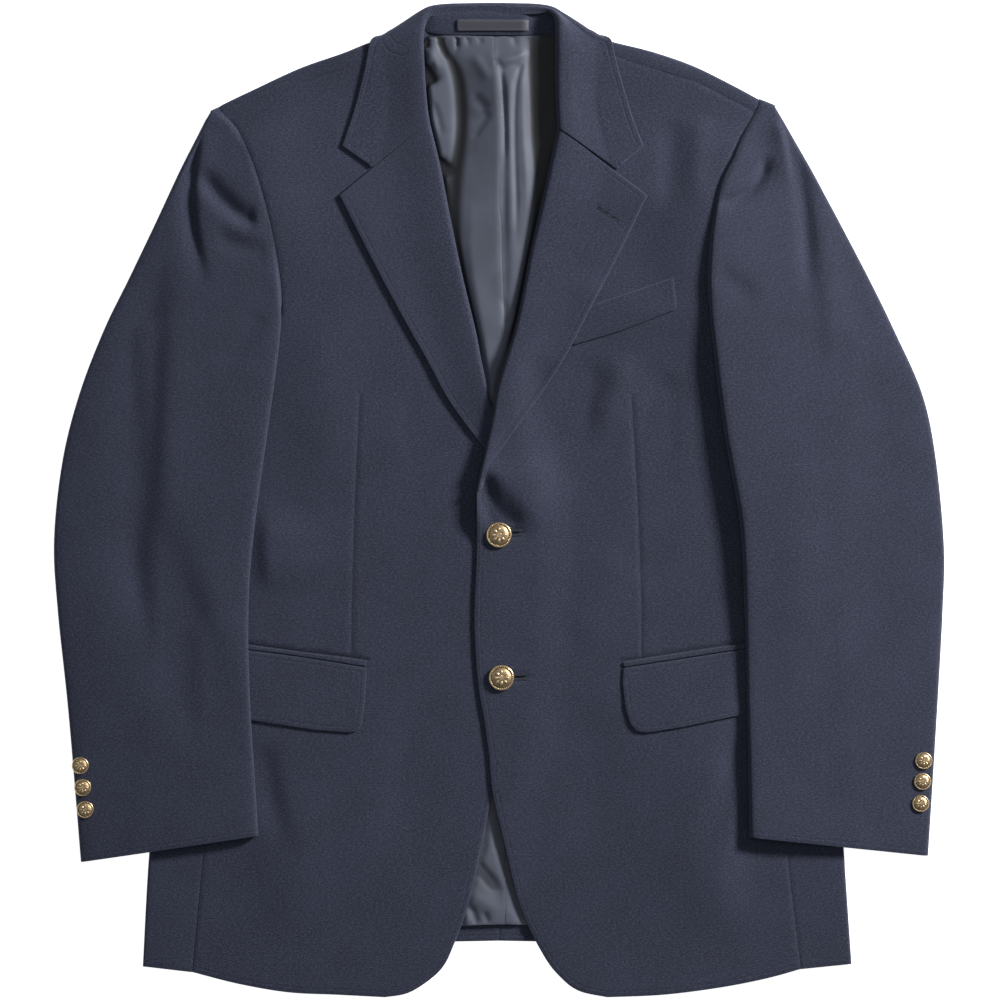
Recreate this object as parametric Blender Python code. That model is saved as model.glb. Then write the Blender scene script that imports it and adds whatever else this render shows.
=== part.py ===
"""A sport coat laid flat on its back: two-piece sleeves, notched lapels, flap pockets and shank buttons.

+X runs to the wearer's left, +Y to the collar and +Z up from the surface. Lengths in the tables are in
millimetres. Every piece of cloth is its own closed wall, about 0.3 mm clear of what it is sewn to.
"""

import math
from collections import namedtuple

import bmesh
import bpy
from mathutils import Vector
from mathutils.geometry import delaunay_2d_cdt, intersect_point_line

MM = 0.001
FINE_STEP = 14.0  # between a panel's points where it bends, in millimetres

# Walls, in millimetres.
CLEAR = 0.3
BACK_WALL = 1.4
LINING_WALL = 1.0
FRONT_WALL = 2.0
LAPEL_WALL = 1.8
COLLAR_WALL = 2.0
SLEEVE_WALL = 1.5
FLAP_WALL = 1.6
LABEL_WALL = 1.0

# Levels of the undersides over the surface.
LINING_LEVEL = BACK_WALL + CLEAR
FRONT_LEVEL = LINING_LEVEL + LINING_WALL + 0.4
ON_FRONT = FRONT_LEVEL + FRONT_WALL + CLEAR
FRONT_LAP = 2.3  # the left front's rise where it lies over the right front
LAPEL_LAP = 2.4  # its further rise where it lies over the right lapel
NECK_RISE = 2.3  # the body's rise where the collar's fall lies beneath the back neck
FLAP_RISE = 2.1  # the sleeve's rise over a pocket flap
FOLD_RADIUS = 2.5  # outer radius of the folds at the sides and shoulders
SHOULDER_STRIP = 10.5  # how far the back comes over the shoulder to its seam
ROLL_INSET = 4.6  # from a roll line to the front's edge under the lapel
SLEEVE_LOFT = 3.3  # space between the two walls of a sleeve at its middle
SLEEVE_EDGE = 1.9  # the same at its folds
SLEEVE_TUCK = 8.0  # how far the top sleeve runs under to its seams
CUFF_BUTTON = 14.0
FRONT_BUTTON = 21.0

Side = namedtuple("Side", "name sign")
RIGHT = Side("right", -1)
LEFT = Side("left", 1)

Edge = namedtuple("Edge", "outer_x outer_y inner_x inner_y")
SLEEVES = {
    "right": [
        Edge(-235, 318.5, -226, 319.5),
        Edge(-245, 303, -214, 304),
        Edge(-262, 269, -201, 274),
        Edge(-282, 226, -190, 237),
        Edge(-304, 180, -182, 200),
        Edge(-324, 139, -178, 164),
        Edge(-344, 87, -180, 127),
        Edge(-358, 32, -189, 59),
        Edge(-365, -33, -200, -21),
        Edge(-362, -91, -205, -82),
        Edge(-353, -177, -204, -160),
        Edge(-343, -297, -197, -275),
    ],
    "left": [
        Edge(226, 321, 216, 323),
        Edge(239, 303, 206, 310),
        Edge(257, 269, 192, 281),
        Edge(280, 226, 179, 246),
        Edge(304, 180, 173, 210),
        Edge(324, 139, 172, 172),
        Edge(347, 87, 175, 127),
        Edge(358, 36, 184, 57),
        Edge(365, -37, 197, -18),
        Edge(364, -91, 201, -91),
        Edge(359, -181, 203, -164),
        Edge(352, -292, 205, -276),
    ],
}

# Soft folds of the top sleeves: a line of points, its height (a trough is negative) and its half width.
Fold = namedtuple("Fold", "height width line")
SLEEVE_FOLDS = {
    "right": [
        Fold(-1.6, 7, ((-246, 303), (-253, 272), (-249, 236), (-241, 205))),
        Fold(-1.3, 9, ((-241, 278), (-225, 249), (-210, 234), (-192, 230))),
        Fold(-1.4, 13, ((-276, 210), (-284, 139), (-290, 46), (-296, -20), (-272, -77), (-240, -145))),
        Fold(0.9, 14, ((-266, 160), (-270, 80), (-272, 0), (-262, -60))),
    ],
    "left": [
        Fold(-1.5, 9, ((248, 259), (251, 222), (253, 181))),
        Fold(-1.4, 10, ((226, 275), (215, 255), (203, 242), (186, 238))),
        Fold(0.9, 12, ((262, 262), (270, 200), (276, 130), (282, 40))),
        Fold(-1.2, 14, ((300, 120), (312, 20), (306, -80), (290, -160))),
    ],
}

Point = namedtuple("Point", "x y")


def points(*pairs):
    return [Point(x, y) for x, y in pairs]


# The fronts' outlines, from the neck down the front edge, round the hem and up the side.
ROLL = {
    "right": points((13, 26), (2, 58), (-7, 83), (-19, 138), (-30, 184), (-40, 232), (-48, 273),
                    (-57, 311), (-60, 341), (-61, 366)),
    "left": points((-15, 22), (-10, 46), (-2, 90), (15, 148), (25, 200), (39, 263), (48, 305),
                   (46, 341), (46, 366)),
}
FRONT_EDGE = {
    "right": points((16, 8), (16, -33), (16, -99), (12, -148), (5, -189), (-6, -242), (-14, -279),
                    (-25, -330), (-37, -364), (-46, -383), (-60, -396), (-76, -405), (-94, -408)),
    "left": points((-18, 6), (-18, -41), (-20, -100), (-17, -150), (-12, -181), (-8, -210), (-5, -241),
                   (5, -284), (18, -335), (37, -374), (51, -392), (66, -403), (89, -408)),
}
FRONT_HEM = {
    "right": points((-94, -408), (-133, -406), (-173, -404), (-214, -397), (-251, -387.5)),
    "left": points((89, -408), (135, -406), (182, -400), (220, -392.5), (247, -385)),
}
ARMHOLE_LOW = points((225, 106), (203, 112), (188, 124), (182, 139))
SHOULDER_LINE = {
    "right": points((-66, 383), (-101, 374), (-127, 364), (-162, 352), (-200, 335), (-222.5, 323)),
    "left": points((62, 383), (89, 374), (125, 365), (160, 353), (195, 338), (213.5, 328)),
}
CENTRE = [-300, -240, -180, -120, -60, 0, 60, 120, 180, 240, 290, 310, 322, 334, 344, 354, 366]
BACK_ARMHOLE = points((245, 146), (226, 184), (212, 233), (207, 270), (213, 299), (222, 314))

# The side panels, which turn round the body's folds, from the armhole to the hem.
SideRow = namedtuple("SideRow", "back_x back_y fold_x fold_y front_x front_y")
SIDES = {
    "right": [
        SideRow(247, 141, 280, 124, 225, 106),
        SideRow(240, 104, 277, 84, 221, 66),
        SideRow(233, 40, 273.5, 28, 219, 16),
        SideRow(229, -50, 270, -60, 219, -70),
        SideRow(232, -110, 271.5, -115, 223, -125),
        SideRow(239, -164, 276, -172, 230, -181),
        SideRow(245, -232, 282, -235, 236, -238),
        SideRow(249, -300, 288, -300, 243, -300),
        SideRow(253, -380, 292.5, -383, 251.3, -387.5),
    ],
    "left": [
        SideRow(247, 141, 278, 124, 225, 106),
        SideRow(240, 104, 276, 84, 221, 66),
        SideRow(233, 40, 273, 28, 219, 16),
        SideRow(229, -50, 270, -60, 219, -70),
        SideRow(232, -110, 271, -115, 221, -125),
        SideRow(239, -164, 275.5, -172, 226, -181),
        SideRow(245, -232, 280, -235, 231, -238),
        SideRow(249, -300, 284, -300, 237, -300),
        SideRow(253, -380, 289.5, -381, 247.3, -385),
    ],
}

# The lapels, from the break up to the gorge: the roll line, the outer edge and the roll's radius.
LapelRow = namedtuple("LapelRow", "roll_x roll_y edge_x edge_y radius")
LAPELS = {
    "right": [
        LapelRow(13, 26, 7, 23, 1.2),
        LapelRow(8, 42, -12, 43, 1.2),
        LapelRow(1, 61, -27, 62, 1.2),
        LapelRow(-7, 83, -43, 85, 1.3),
        LapelRow(-14, 112, -59, 115, 1.7),
        LapelRow(-19, 138, -75, 143, 2.0),
        LapelRow(-30, 184, -95, 180, 2.2),
        LapelRow(-40, 232, -112, 213, 2.2),
        LapelRow(-48, 273, -122, 233, 2.1),
        LapelRow(-57, 310.3, -130, 249, 2.0),
    ],
    "left": [
        LapelRow(-15, 22, -9, 27, 1.2),
        LapelRow(-12, 36, 0, 39, 1.3),
        LapelRow(-10, 46, 6, 48, 1.5),
        LapelRow(-6, 66, 19, 66, 1.8),
        LapelRow(-2, 90, 37, 91, 2.0),
        LapelRow(7, 120, 56, 121, 2.2),
        LapelRow(15, 148, 72, 152, 2.2),
        LapelRow(25, 200, 95, 196, 2.2),
        LapelRow(34, 240, 108, 222, 2.2),
        LapelRow(41, 272, 115, 237, 2.1),
        LapelRow(48, 304.3, 121, 249, 2.0),
    ],
}

# The collar, from the right gorge round the back neck to the left one: the roll line, the far end of the
# run on top, the outer edge, the heights of the run at the roll and at its far end (0 where it lies on
# the front), how far the roll turns down to the front's edge, and how far the edge has turned under.
CollarRow = namedtuple("CollarRow", "roll_x roll_y far_x far_y edge_x edge_y crest lay turn under")
COLLAR = [
    CollarRow(-57, 311, -104, 273, -128, 290, 8.0, 0, 1, 0),
    CollarRow(-58.4, 320, -100, 289, -124.5, 300, 8.0, 0, 1, 0),
    CollarRow(-59.5, 332, -95, 313, -119, 317, 8.2, 0, 1, 0),
    CollarRow(-60.4, 345, -95, 336, -114, 335, 8.8, 0, 1, 0),
    CollarRow(-61, 357, -99, 353.5, -110, 351, 9.6, 0, 1, 0),
    CollarRow(-61.4, 366, -101.5, 367, -107, 366, 10.1, 0, 1, 0),
    CollarRow(-61.7, 371, -98, 375.5, -104, 377, 10.1, 8.8, 0.95, 0),
    CollarRow(-61.9, 375, -96.5, 380.4, -101, 381.4, 10.1, 8.8, 0.9, 0.5),
    CollarRow(-62, 379, -91.5, 383.5, -93, 379, 10.0, 8.8, 0.8, 1),
    CollarRow(-62, 384, -87, 386, -88, 371, 9.6, 8.6, 0.6, 1),
    CollarRow(-61.5, 391, -77, 392.5, -77, 367, 9.0, 8.2, 0.35, 1),
    CollarRow(-60, 397, -67, 399.5, -65, 365, 8.2, 7.6, 0.15, 1),
    CollarRow(-55, 400.5, -57, 405, -54, 363, 7.2, 7.0, 0, 1),
    CollarRow(-43, 402, -43, 407, -42, 361.5, 6.6, 6.6, 0, 1),
    CollarRow(-25, 402.5, -25, 407.5, -24, 360.5, 6.4, 6.4, 0, 1),
    CollarRow(-6, 402.5, -6, 407.8, -6, 360, 6.4, 6.4, 0, 1),
    CollarRow(13, 402.5, 13, 407.5, 13, 360.5, 6.4, 6.4, 0, 1),
    CollarRow(30, 402, 30, 407, 30, 361.5, 6.6, 6.6, 0, 1),
    CollarRow(40, 400.5, 44, 404.5, 42, 363, 7.2, 7.0, 0, 1),
    CollarRow(44, 397, 54, 398.5, 52, 365, 8.2, 7.6, 0.15, 1),
    CollarRow(46, 391, 65, 391.5, 64, 367, 9.0, 8.2, 0.35, 1),
    CollarRow(46, 384, 74, 385.5, 75, 371, 9.6, 8.6, 0.6, 1),
    CollarRow(46, 379, 79, 383, 80, 379, 10.0, 8.8, 0.8, 1),
    CollarRow(46, 375, 83, 380.6, 87.5, 381.6, 10.1, 8.8, 0.9, 0.5),
    CollarRow(46, 371, 85, 375.5, 91, 377, 10.1, 8.8, 0.95, 0),
    CollarRow(46, 366, 88.5, 367, 94, 366, 10.1, 0, 1, 0),
    CollarRow(46, 356, 87, 352.5, 98, 350, 9.6, 0, 1, 0),
    CollarRow(46, 344, 84, 334, 103, 333, 8.8, 0, 1, 0),
    CollarRow(46.3, 331, 85, 313, 108, 316, 8.2, 0, 1, 0),
    CollarRow(47, 318, 90.5, 291, 113.5, 301, 8.0, 0, 1, 0),
    CollarRow(48, 305, 96, 271.5, 118, 290, 8.0, 0, 1, 0),
]

STAND_BOTTOM = points((-58.5, 386), (-55, 383.8), (-40, 381.8), (-6, 381), (26, 381.6), (40, 383.6),
                      (43.4, 386))
STAND_TOP = points((42, 393.3), (38, 395.6), (29, 397), (13, 397.5), (-25, 397.5), (-43, 397),
                   (-52.5, 395.3), (-56.5, 393.3))
LABEL = points((-34, 384.5), (-34, 393), (24, 393), (24, 384.5))

FLAPS = {
    "right": points((-112, -137.3), (-162, -129.3), (-236, -119.8), (-236, -176), (-203, -181), (-150, -189),
                    (-121, -191), (-115, -189), (-112.5, -184), (-110, -165), (-108.5, -137.8)),
    "left": points((102, -138.3), (192, -124.3), (236, -117.8), (236, -169), (196, -177), (150, -186.5),
                   (122, -191), (113, -190), (107.5, -184), (103.5, -170), (101.3, -150)),
}
JETS = {
    "right": points((-108, -132), (-128, -129), (-162, -125), (-236, -114.8), (-236, -119.4), (-162, -128.9),
                    (-112, -136.9), (-108.3, -137.4)),
    "left": points((101, -133), (192, -119), (236, -112.2), (236, -117.4), (192, -123.9), (101.5, -137.9)),
}
WELT = points((56, 151), (77, 159.5), (143, 182), (145.5, 156), (101, 138.5), (60, 126.5))

# The front buttons lie on the left front; the cuff buttons lie on the top sleeves beside the hind seam.
FRONT_BUTTONS = points((0, -29), (2, -146))
CUFF_BUTTONS = {
    "right": points((-343, -218), (-341, -236), (-339, -254)),
    "left": points((348, -214), (347, -231), (345.5, -249)),
}

# Half a button's section, out from its middle: share of the radius, share of the height.
Ring = namedtuple("Ring", "radius height")
BUTTON_RINGS = [
    Ring(0.22, 0.0), Ring(0.22, 0.34), Ring(0.86, 0.36), Ring(1.0, 0.46), Ring(1.0, 0.60),
    Ring(0.92, 0.70), Ring(0.84, 0.66), Ring(0.60, 0.86), Ring(0.30, 0.97),
]

Look = namedtuple("Look", "red green blue roughness metallic")
LOOKS = {
    "cloth": Look(0.036, 0.044, 0.072, 0.85, 0.0),
    "lining": Look(0.135, 0.160, 0.205, 0.35, 0.0),
    "label": Look(0.030, 0.036, 0.060, 0.60, 0.0),
    "brass": Look(0.560, 0.400, 0.165, 0.34, 1.0),
}


def smooth(share):
    """0 to 1 with level ends."""
    share = min(max(share, 0.0), 1.0)
    return share * share * (3 - 2 * share)


def mirrored(line, side):
    """A line given for the left side, for either side."""
    return [Point(p.x * side.sign, p.y) for p in line]


def blend(values, t):
    """The smooth curve's value at t between the second and the third of four values."""
    weights = (-t + 2 * t * t - t ** 3, 2 - 5 * t * t + 3 * t ** 3,
               t + 4 * t * t - 3 * t ** 3, t ** 3 - t * t)
    return sum(w * v for w, v in zip(weights, values)) / 2


def curve(line, step):
    """Points at about the given step on a smooth curve through the line's points."""
    ends = [line[0], *line, line[-1]]
    dense = []
    for four in zip(ends, ends[1:], ends[2:], ends[3:]):
        dense += [tuple(blend(values, i / 8) for values in zip(*four)) for i in range(8)]
    dense.append(tuple(line[-1]))
    return resampled(dense, step)


def resampled(dense, step):
    lengths = [0.0]
    for a, b in zip(dense, dense[1:]):
        lengths.append(lengths[-1] + math.dist(a[:2], b[:2]))
    count = max(2, round(lengths[-1] / step))
    found = []
    at = 0
    for i in range(count + 1):
        want = lengths[-1] * i / count
        while at < len(lengths) - 2 and lengths[at + 1] < want:
            at += 1
        share = (want - lengths[at]) / ((lengths[at + 1] - lengths[at]) or 1)
        found.append(tuple(p + (q - p) * share for p, q in zip(dense[at], dense[at + 1])))
    return found


def joined(*lines):
    """One closed outline from lines whose ends meet or nearly meet."""
    outline = []
    for line in lines:
        for p in line:
            if not outline or math.dist(outline[-1], p[:2]) > 0.8:
                outline.append((p[0], p[1]))
    if math.dist(outline[0], outline[-1]) < 0.8:
        outline.pop()
    return outline


def moved(line, away):
    """The line moved sideways, to its left when away is positive."""
    found = []
    for i, p in enumerate(line):
        a = line[max(i - 1, 0)]
        b = line[min(i + 1, len(line) - 1)]
        length = math.dist(a[:2], b[:2])
        found.append((p[0] - (b[1] - a[1]) / length * away, p[1] + (b[0] - a[0]) / length * away))
    return found


def x_at(line, y):
    """The line's x where it passes y, held level past its ends."""
    rows = sorted(((p[1], p[0]) for p in line))
    if y <= rows[0][0]:
        return rows[0][1]
    for (y0, x0), (y1, x1) in zip(rows, rows[1:]):
        if y <= y1:
            return x0 + (x1 - x0) * (y - y0) / ((y1 - y0) or 1)
    return rows[-1][1]


def inside(x, y, outline):
    found = False
    for (x0, y0), (x1, y1) in zip(outline, outline[1:] + outline[:1]):
        if (y0 > y) != (y1 > y) and x < x0 + (x1 - x0) * (y - y0) / (y1 - y0):
            found = not found
    return found


def gap_to(x, y, line):
    """The distance from a point to a line of points."""
    at = Vector((x, y))
    best = 1e9
    for a, b in zip(line, line[1:]):
        near, share = intersect_point_line(at, Vector(a[:2]), Vector(b[:2]))
        share = min(max(share, 0), 1)
        near = Vector(a[:2]).lerp(Vector(b[:2]), share)
        best = min(best, (at - near).length)
    return best


def fold_height(x, y, folds):
    return sum(f.height * math.exp(-(gap_to(x, y, f.line) / f.width) ** 2) for f in folds)


# Heights of the layers over the surface, in millimetres.

def neck_rise(x, y):
    edge = 358 + 11 * (x / 100) ** 2
    return NECK_RISE * smooth((y - edge + 48) / 44) * smooth((176 - abs(x)) / 62)


def back_level(x, y):
    return neck_rise(x, y)


def lining_level(x, y):
    return neck_rise(x, y) + LINING_LEVEL


def right_front_level(x, y):
    return neck_rise(x, y) + FRONT_LEVEL


def left_front_level(x, y):
    over_front = smooth((x_at(FRONT_EDGE["right"] + ROLL["right"][1:], y) + 48 - x) / 36)
    over_lapel = smooth((y + 34) / 40) * smooth((x_at(ROLL["right"], y) + 40 - x) / 34)
    return right_front_level(x, y) + FRONT_LAP * over_front + LAPEL_LAP * over_lapel


FRONT_LEVELS = {"right": right_front_level, "left": left_front_level}


def on_front(side, x, y):
    """Where a piece that lies on a front has its underside."""
    return FRONT_LEVELS[side.name](x, y) + FRONT_WALL + CLEAR


def lapel_level(side, x, y):
    over_welt = 1.9 * smooth((52 - math.dist((x, y), (57, 143))) / 26) if side is LEFT else 0
    return on_front(side, x, y) + 0.2 + over_welt


def stand_level(x, y):
    return 2.4 + 3.0 * smooth((y - 379) / 17)


def body_outline(side):
    """The body's plan on one side, as a sleeve meets it."""
    rows = SIDES[side.name]
    fold = curve([Point(r.fold_x, r.fold_y) for r in rows], 20)
    low = [(281, 126), (262, 132), (247, 140), (232, 120), (218, 106), (203, 112), (188, 124),
           (182, 139), (172, 158), (170, 330)]
    return joined([(100, 330), (100, -400)], fold[::-1], low)


def sleeve_support(side):
    """The height that a sleeve's underside rests at: on the surface, the body or a pocket flap."""
    outline = body_outline(side)
    closed = outline + outline[:1]

    def level(x, y):
        x = abs(x)
        away = gap_to(x, y, closed) * (-1 if inside(x, y, outline) else 1)
        body = ON_FRONT * (1 - smooth((away - 8) / 28))
        flap_x = max(0, x - 237)
        flap_y = max(0, -190 - y, y + 112)
        over_flap = FLAP_RISE * (1 - smooth((math.hypot(flap_x, flap_y) - 3) / 20))
        return body + over_flap * body / ON_FRONT

    return level


# Meshes.

def finish(name, bm, look):
    """One closed body facing out, as an object of that name with its own material."""
    bmesh.ops.recalc_face_normals(bm, faces=bm.faces)
    if bm.calc_volume(signed=True) < 0:
        bmesh.ops.reverse_faces(bm, faces=bm.faces)
    for vertex in bm.verts:
        vertex.co *= MM
    mesh = bpy.data.meshes.new(name)
    bm.to_mesh(mesh)
    bm.free()
    value = LOOKS[look]
    material = bpy.data.materials.new(name)
    material.use_nodes = True
    shader = material.node_tree.nodes["Principled BSDF"]
    shader.inputs["Base Color"].default_value = (value.red, value.green, value.blue, 1)
    shader.inputs["Roughness"].default_value = value.roughness
    shader.inputs["Metallic"].default_value = value.metallic
    mesh.materials.append(material)
    obj = bpy.data.objects.new(name, mesh)
    bpy.context.scene.collection.objects.link(obj)
    return obj


def wall(name, top, bottom, faces, rim, look):
    """A closed wall from two matching surfaces and the loop of points round their rim."""
    bm = bmesh.new()
    upper = [bm.verts.new(p) for p in top]
    lower = [bm.verts.new(p) for p in bottom]
    for face in faces:
        bm.faces.new([upper[i] for i in face])
        bm.faces.new([lower[i] for i in reversed(face)])
    for a, b in zip(rim, rim[1:] + rim[:1]):
        bm.faces.new((upper[b], upper[a], lower[a], lower[b]))
    bmesh.ops.triangulate(bm, faces=[f for f in bm.faces if len(f.verts) > 3])
    return finish(name, bm, look)


def within(x, y, box):
    return box[0] <= x <= box[2] and box[1] <= y <= box[3]


def grid_points(box, step, fine):
    """Staggered points over the box, closer together inside the fine ones."""
    found = []
    for area, pitch in [(box, step)] + [(f, FINE_STEP) for f in fine]:
        row = 0
        y = area[1] + pitch * 0.5
        while y < area[3]:
            x = area[0] + pitch * (0.25 + 0.5 * (row % 2))
            while x < area[2]:
                if area is not box or not any(within(x, y, f) for f in fine):
                    found.append((x, y, pitch))
                x += pitch
            y += pitch * 0.87
            row += 1
    return found


def split(outline, step):
    """The closed outline with no edge much longer than the step."""
    found = []
    for a, b in zip(outline, outline[1:] + outline[:1]):
        count = max(1, round(math.dist(a, b) / step))
        found += [(a[0] + (b[0] - a[0]) * i / count, a[1] + (b[1] - a[1]) * i / count)
                  for i in range(count)]
    return found


def sheet(name, outline, level, thickness, step, look, bend=None, lines=(), fine=()):
    """A panel in plan: its outline, the height of its underside and its thickness.

    Its inner points stand at the step, and closer together inside the boxes given as fine.
    """
    outline = split(outline, step)
    corners = [Vector(p) for p in outline]
    edges = [(i, (i + 1) % len(corners)) for i in range(len(corners))]
    for line in lines:
        first = len(corners)
        corners += [Vector(p[:2]) for p in line]
        edges += [(first + i, first + i + 1) for i in range(len(line) - 1)]
    closed = list(outline) + [outline[0]]
    guides = [closed, *lines]
    box = (min(p[0] for p in outline), min(p[1] for p in outline),
           max(p[0] for p in outline), max(p[1] for p in outline))
    for x, y, pitch in grid_points(box, step, fine):
        if inside(x, y, outline) and min(gap_to(x, y, g) for g in guides) > pitch * 0.5:
            corners.append(Vector((x, y)))
    found = delaunay_2d_cdt(corners, edges, [], 1, 1e-4)
    flat, faces = found[0], found[2]
    source = found[3]
    rim = [next(k for k, s in enumerate(source) if i in s) for i in range(len(outline))]
    bend = bend or (lambda x, y, height: (x, y, height))
    lower = [bend(p.x, p.y, 0.0) for p in flat]
    upper = [bend(p.x, p.y, thickness) for p in flat]
    rise = [level(p.x, p.y) for p in flat]
    lower = [(x, y, z + r) for (x, y, z), r in zip(lower, rise)]
    upper = [(x, y, z + r) for (x, y, z), r in zip(upper, rise)]
    return wall(name, upper, lower, faces, rim, look)


def band(name, rows, thickness, look):
    """A wall along a grid of middle points: each row runs across it, and all have the same count."""
    grid = [[Vector(p) for p in row] for row in rows]
    down, across = len(grid), len(grid[0])
    top, bottom = [], []
    for i in range(down):
        for j in range(across):
            along = grid[min(i + 1, down - 1)][j] - grid[max(i - 1, 0)][j]
            over = grid[i][min(j + 1, across - 1)] - grid[i][max(j - 1, 0)]
            normal = over.cross(along).normalized() * thickness / 2
            top.append(grid[i][j] + normal)
            bottom.append(grid[i][j] - normal)
    faces = []
    for i in range(down - 1):
        for j in range(across - 1):
            a = i * across + j
            faces.append((a, a + 1, a + across + 1, a + across))
    last = (down - 1) * across
    rim = list(range(across))
    rim += [i * across + across - 1 for i in range(1, down)]
    rim += [last + j for j in range(across - 2, -1, -1)]
    rim += [i * across for i in range(down - 2, 0, -1)]
    return wall(name, top, bottom, faces, rim, look)


def turned(name, x, y, z, diameter, height, look, count=20):
    """A round button from its half section."""
    bm = bmesh.new()
    rings = []
    for ring in BUTTON_RINGS:
        radius = ring.radius * diameter / 2
        rings.append([bm.verts.new((x + radius * math.cos(math.tau * i / count),
                                    y + radius * math.sin(math.tau * i / count),
                                    z + ring.height * height)) for i in range(count)])
    for low, high in zip(rings, rings[1:]):
        for i in range(count):
            j = (i + 1) % count
            bm.faces.new((low[i], low[j], high[j], high[i]))
    bm.faces.new(rings[0][::-1])
    crown = bm.verts.new((x, y, z + height))
    for i in range(count):
        bm.faces.new((rings[-1][i], rings[-1][(i + 1) % count], crown))
    obj = finish(name, bm, look)
    for polygon in obj.data.polygons:
        polygon.use_smooth = True
    return obj


# The body.

def back(side):
    """One half of the back, whose shoulder comes over the fold to the shoulder seam."""
    s = side.sign
    line = SHOULDER_LINE[side.name]
    first, last = Vector(line[0]), Vector(line[-1])
    along = (last - first).normalized()
    out = Vector((-along.y, along.x)) * s
    middle = FOLD_RADIUS - BACK_WALL / 2
    half_turn = math.pi * middle
    fold = [((Vector(p) - first).dot(along), (Vector(p) - first).dot(out)) for p in curve(line, 14)]

    def fold_at(a):
        return x_at([(b, a0) for a0, b in fold], a)

    def bend(x, y, height):
        at = Vector((x, y)) - first
        a, b = at.dot(along), at.dot(out)
        past = b - fold_at(a)
        if past <= 0 or y < 250:
            return (x, y, height)
        angle = min(past / middle, math.pi)
        reach = fold_at(a) + (FOLD_RADIUS - height) * math.sin(angle) - max(0, past - half_turn)
        at = first + along * a + out * reach
        return (at.x, at.y, FOLD_RADIUS - (FOLD_RADIUS - height) * math.cos(angle))

    reach = half_turn + SHOULDER_STRIP - CLEAR
    shares = [0, 0.25, 0.5, 0.75, 1]
    lines = [[tuple(first + along * a + out * (b + half_turn * t)) for a, b in fold[1:-1]] for t in shares]
    seam = [tuple(first + along * a + out * (b + reach)) for a, b in fold[1:]]
    a, b = fold[-1]
    seam += [tuple(first + along * a + out * (b + reach * t)) for t in (0.75, 0.5, 0.25, 0)]
    neck = [(s * 0.15, 380), (s * 36, 380.5), (s * 58, 382.5)]
    hem = curve(points((s * 253, -380), (s * 163, -369), (s * 81, -364), (s * 0.15, -362)), 28)
    rows = SIDES[side.name]
    seam_side = curve([Point(s * (r.back_x - 2 * CLEAR), r.back_y) for r in rows], 40)
    armhole = curve(mirrored(BACK_ARMHOLE, side), 20)[1:]
    centre = [(s * 0.15, y) for y in (-340, *CENTRE)]
    outline = joined(neck, seam, armhole[::-1], seam_side, hem, centre)
    neck_box = (min(0, s * 190), 290, max(0, s * 190), 372)
    return sheet(f"back_{side.name}", outline, back_level, BACK_WALL, 48, "cloth", bend, lines,
                 [neck_box])


def back_lining(side):
    s = side.sign
    rows = SIDES[side.name]
    seam_side = curve([Point(s * (r.back_x - 9), r.back_y) for r in rows if r.back_y > -340], 40)
    armhole = moved(curve(mirrored(BACK_ARMHOLE[:-1], side), 26), 6 * s)
    shoulder = mirrored(points((197, 314), (158, 332), (123, 345), (97, 354), (71, 362)), side)
    neck = mirrored(points((58, 379.5), (36, 380), (0.15, 380)), side)
    centre = [(s * 0.15, y) for y in CENTRE[::-1]]
    hem = [(s * 0.15, -349), (s * 81, -351), (s * 163, -356), (s * 240, -364)]
    outline = joined(neck, centre, hem, seam_side[::-1], armhole, shoulder)
    neck_box = (min(0, s * 190), 290, max(0, s * 190), 376)
    return sheet(f"back_lining_{side.name}", outline, lining_level, LINING_WALL, 48, "lining",
                 fine=[neck_box])


def side_panel(side):
    """From the back seam round the fold to the front seam."""
    s = side.sign
    rows = [(r.back_x, r.back_y, r.fold_x, r.fold_y, r.front_x, r.front_y) for r in SIDES[side.name]]
    low = BACK_WALL / 2
    high = FRONT_LEVEL + FRONT_WALL / 2
    radius = (high - low) / 2
    grid = []
    for bx, by, fx, fy, tx, ty in curve(rows, 52):
        centre = fx - FOLD_RADIUS
        row = [(bx + (centre - bx) * t, by + (fy - by) * t, low) for t in (0, 0.35, 0.7, 1)]
        for angle in (30, 60, 90, 120, 150):
            a = math.radians(angle)
            row.append((centre + radius * math.sin(a), fy, low + radius * (1 - math.cos(a))))
        row += [(centre + (tx + CLEAR - centre) * t, fy + (ty - fy) * t, high) for t in (0, 0.3, 0.65, 1)]
        grid.append([(x * s, y, z) for x, y, z in row])
    return band(f"side_{side.name}", grid, BACK_WALL, "cloth")


def front(side):
    s = side.sign
    rows = SIDES[side.name]
    roll = [(x + s * ROLL_INSET, y) for x, y in curve(ROLL[side.name], 18)]
    edge = curve(FRONT_EDGE[side.name], 16)
    hem = curve(FRONT_HEM[side.name], 20)
    seam = curve([Point(s * r.front_x, r.front_y) for r in rows], 30)[::-1]
    low = curve(mirrored(ARMHOLE_LOW, side), 12)
    sleeve = curve([Point(e.inner_x, e.inner_y) for e in SLEEVES[side.name]], 14)
    armhole = [(x - s * 0.8, y) for x, y in sleeve if 148 < y < 313][::-1]
    line = curve(SHOULDER_LINE[side.name], 16)[::-1]
    shoulder = moved(line, s * (SHOULDER_STRIP + 3 * CLEAR))
    shoulder = [p for p in shoulder if 72 < abs(p[0]) < abs(armhole[-1][0]) - 1]
    outline = joined(roll[::-1], edge, hem, seam, low, armhole, shoulder)
    fine = [(-190, 290, -40, 372)] if side is RIGHT else [(40, 290, 190, 372), (-22, -30, 80, 150)]
    return sheet(f"front_{side.name}", outline, FRONT_LEVELS[side.name], FRONT_WALL, 36, "cloth",
                 fine=fine)


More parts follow.
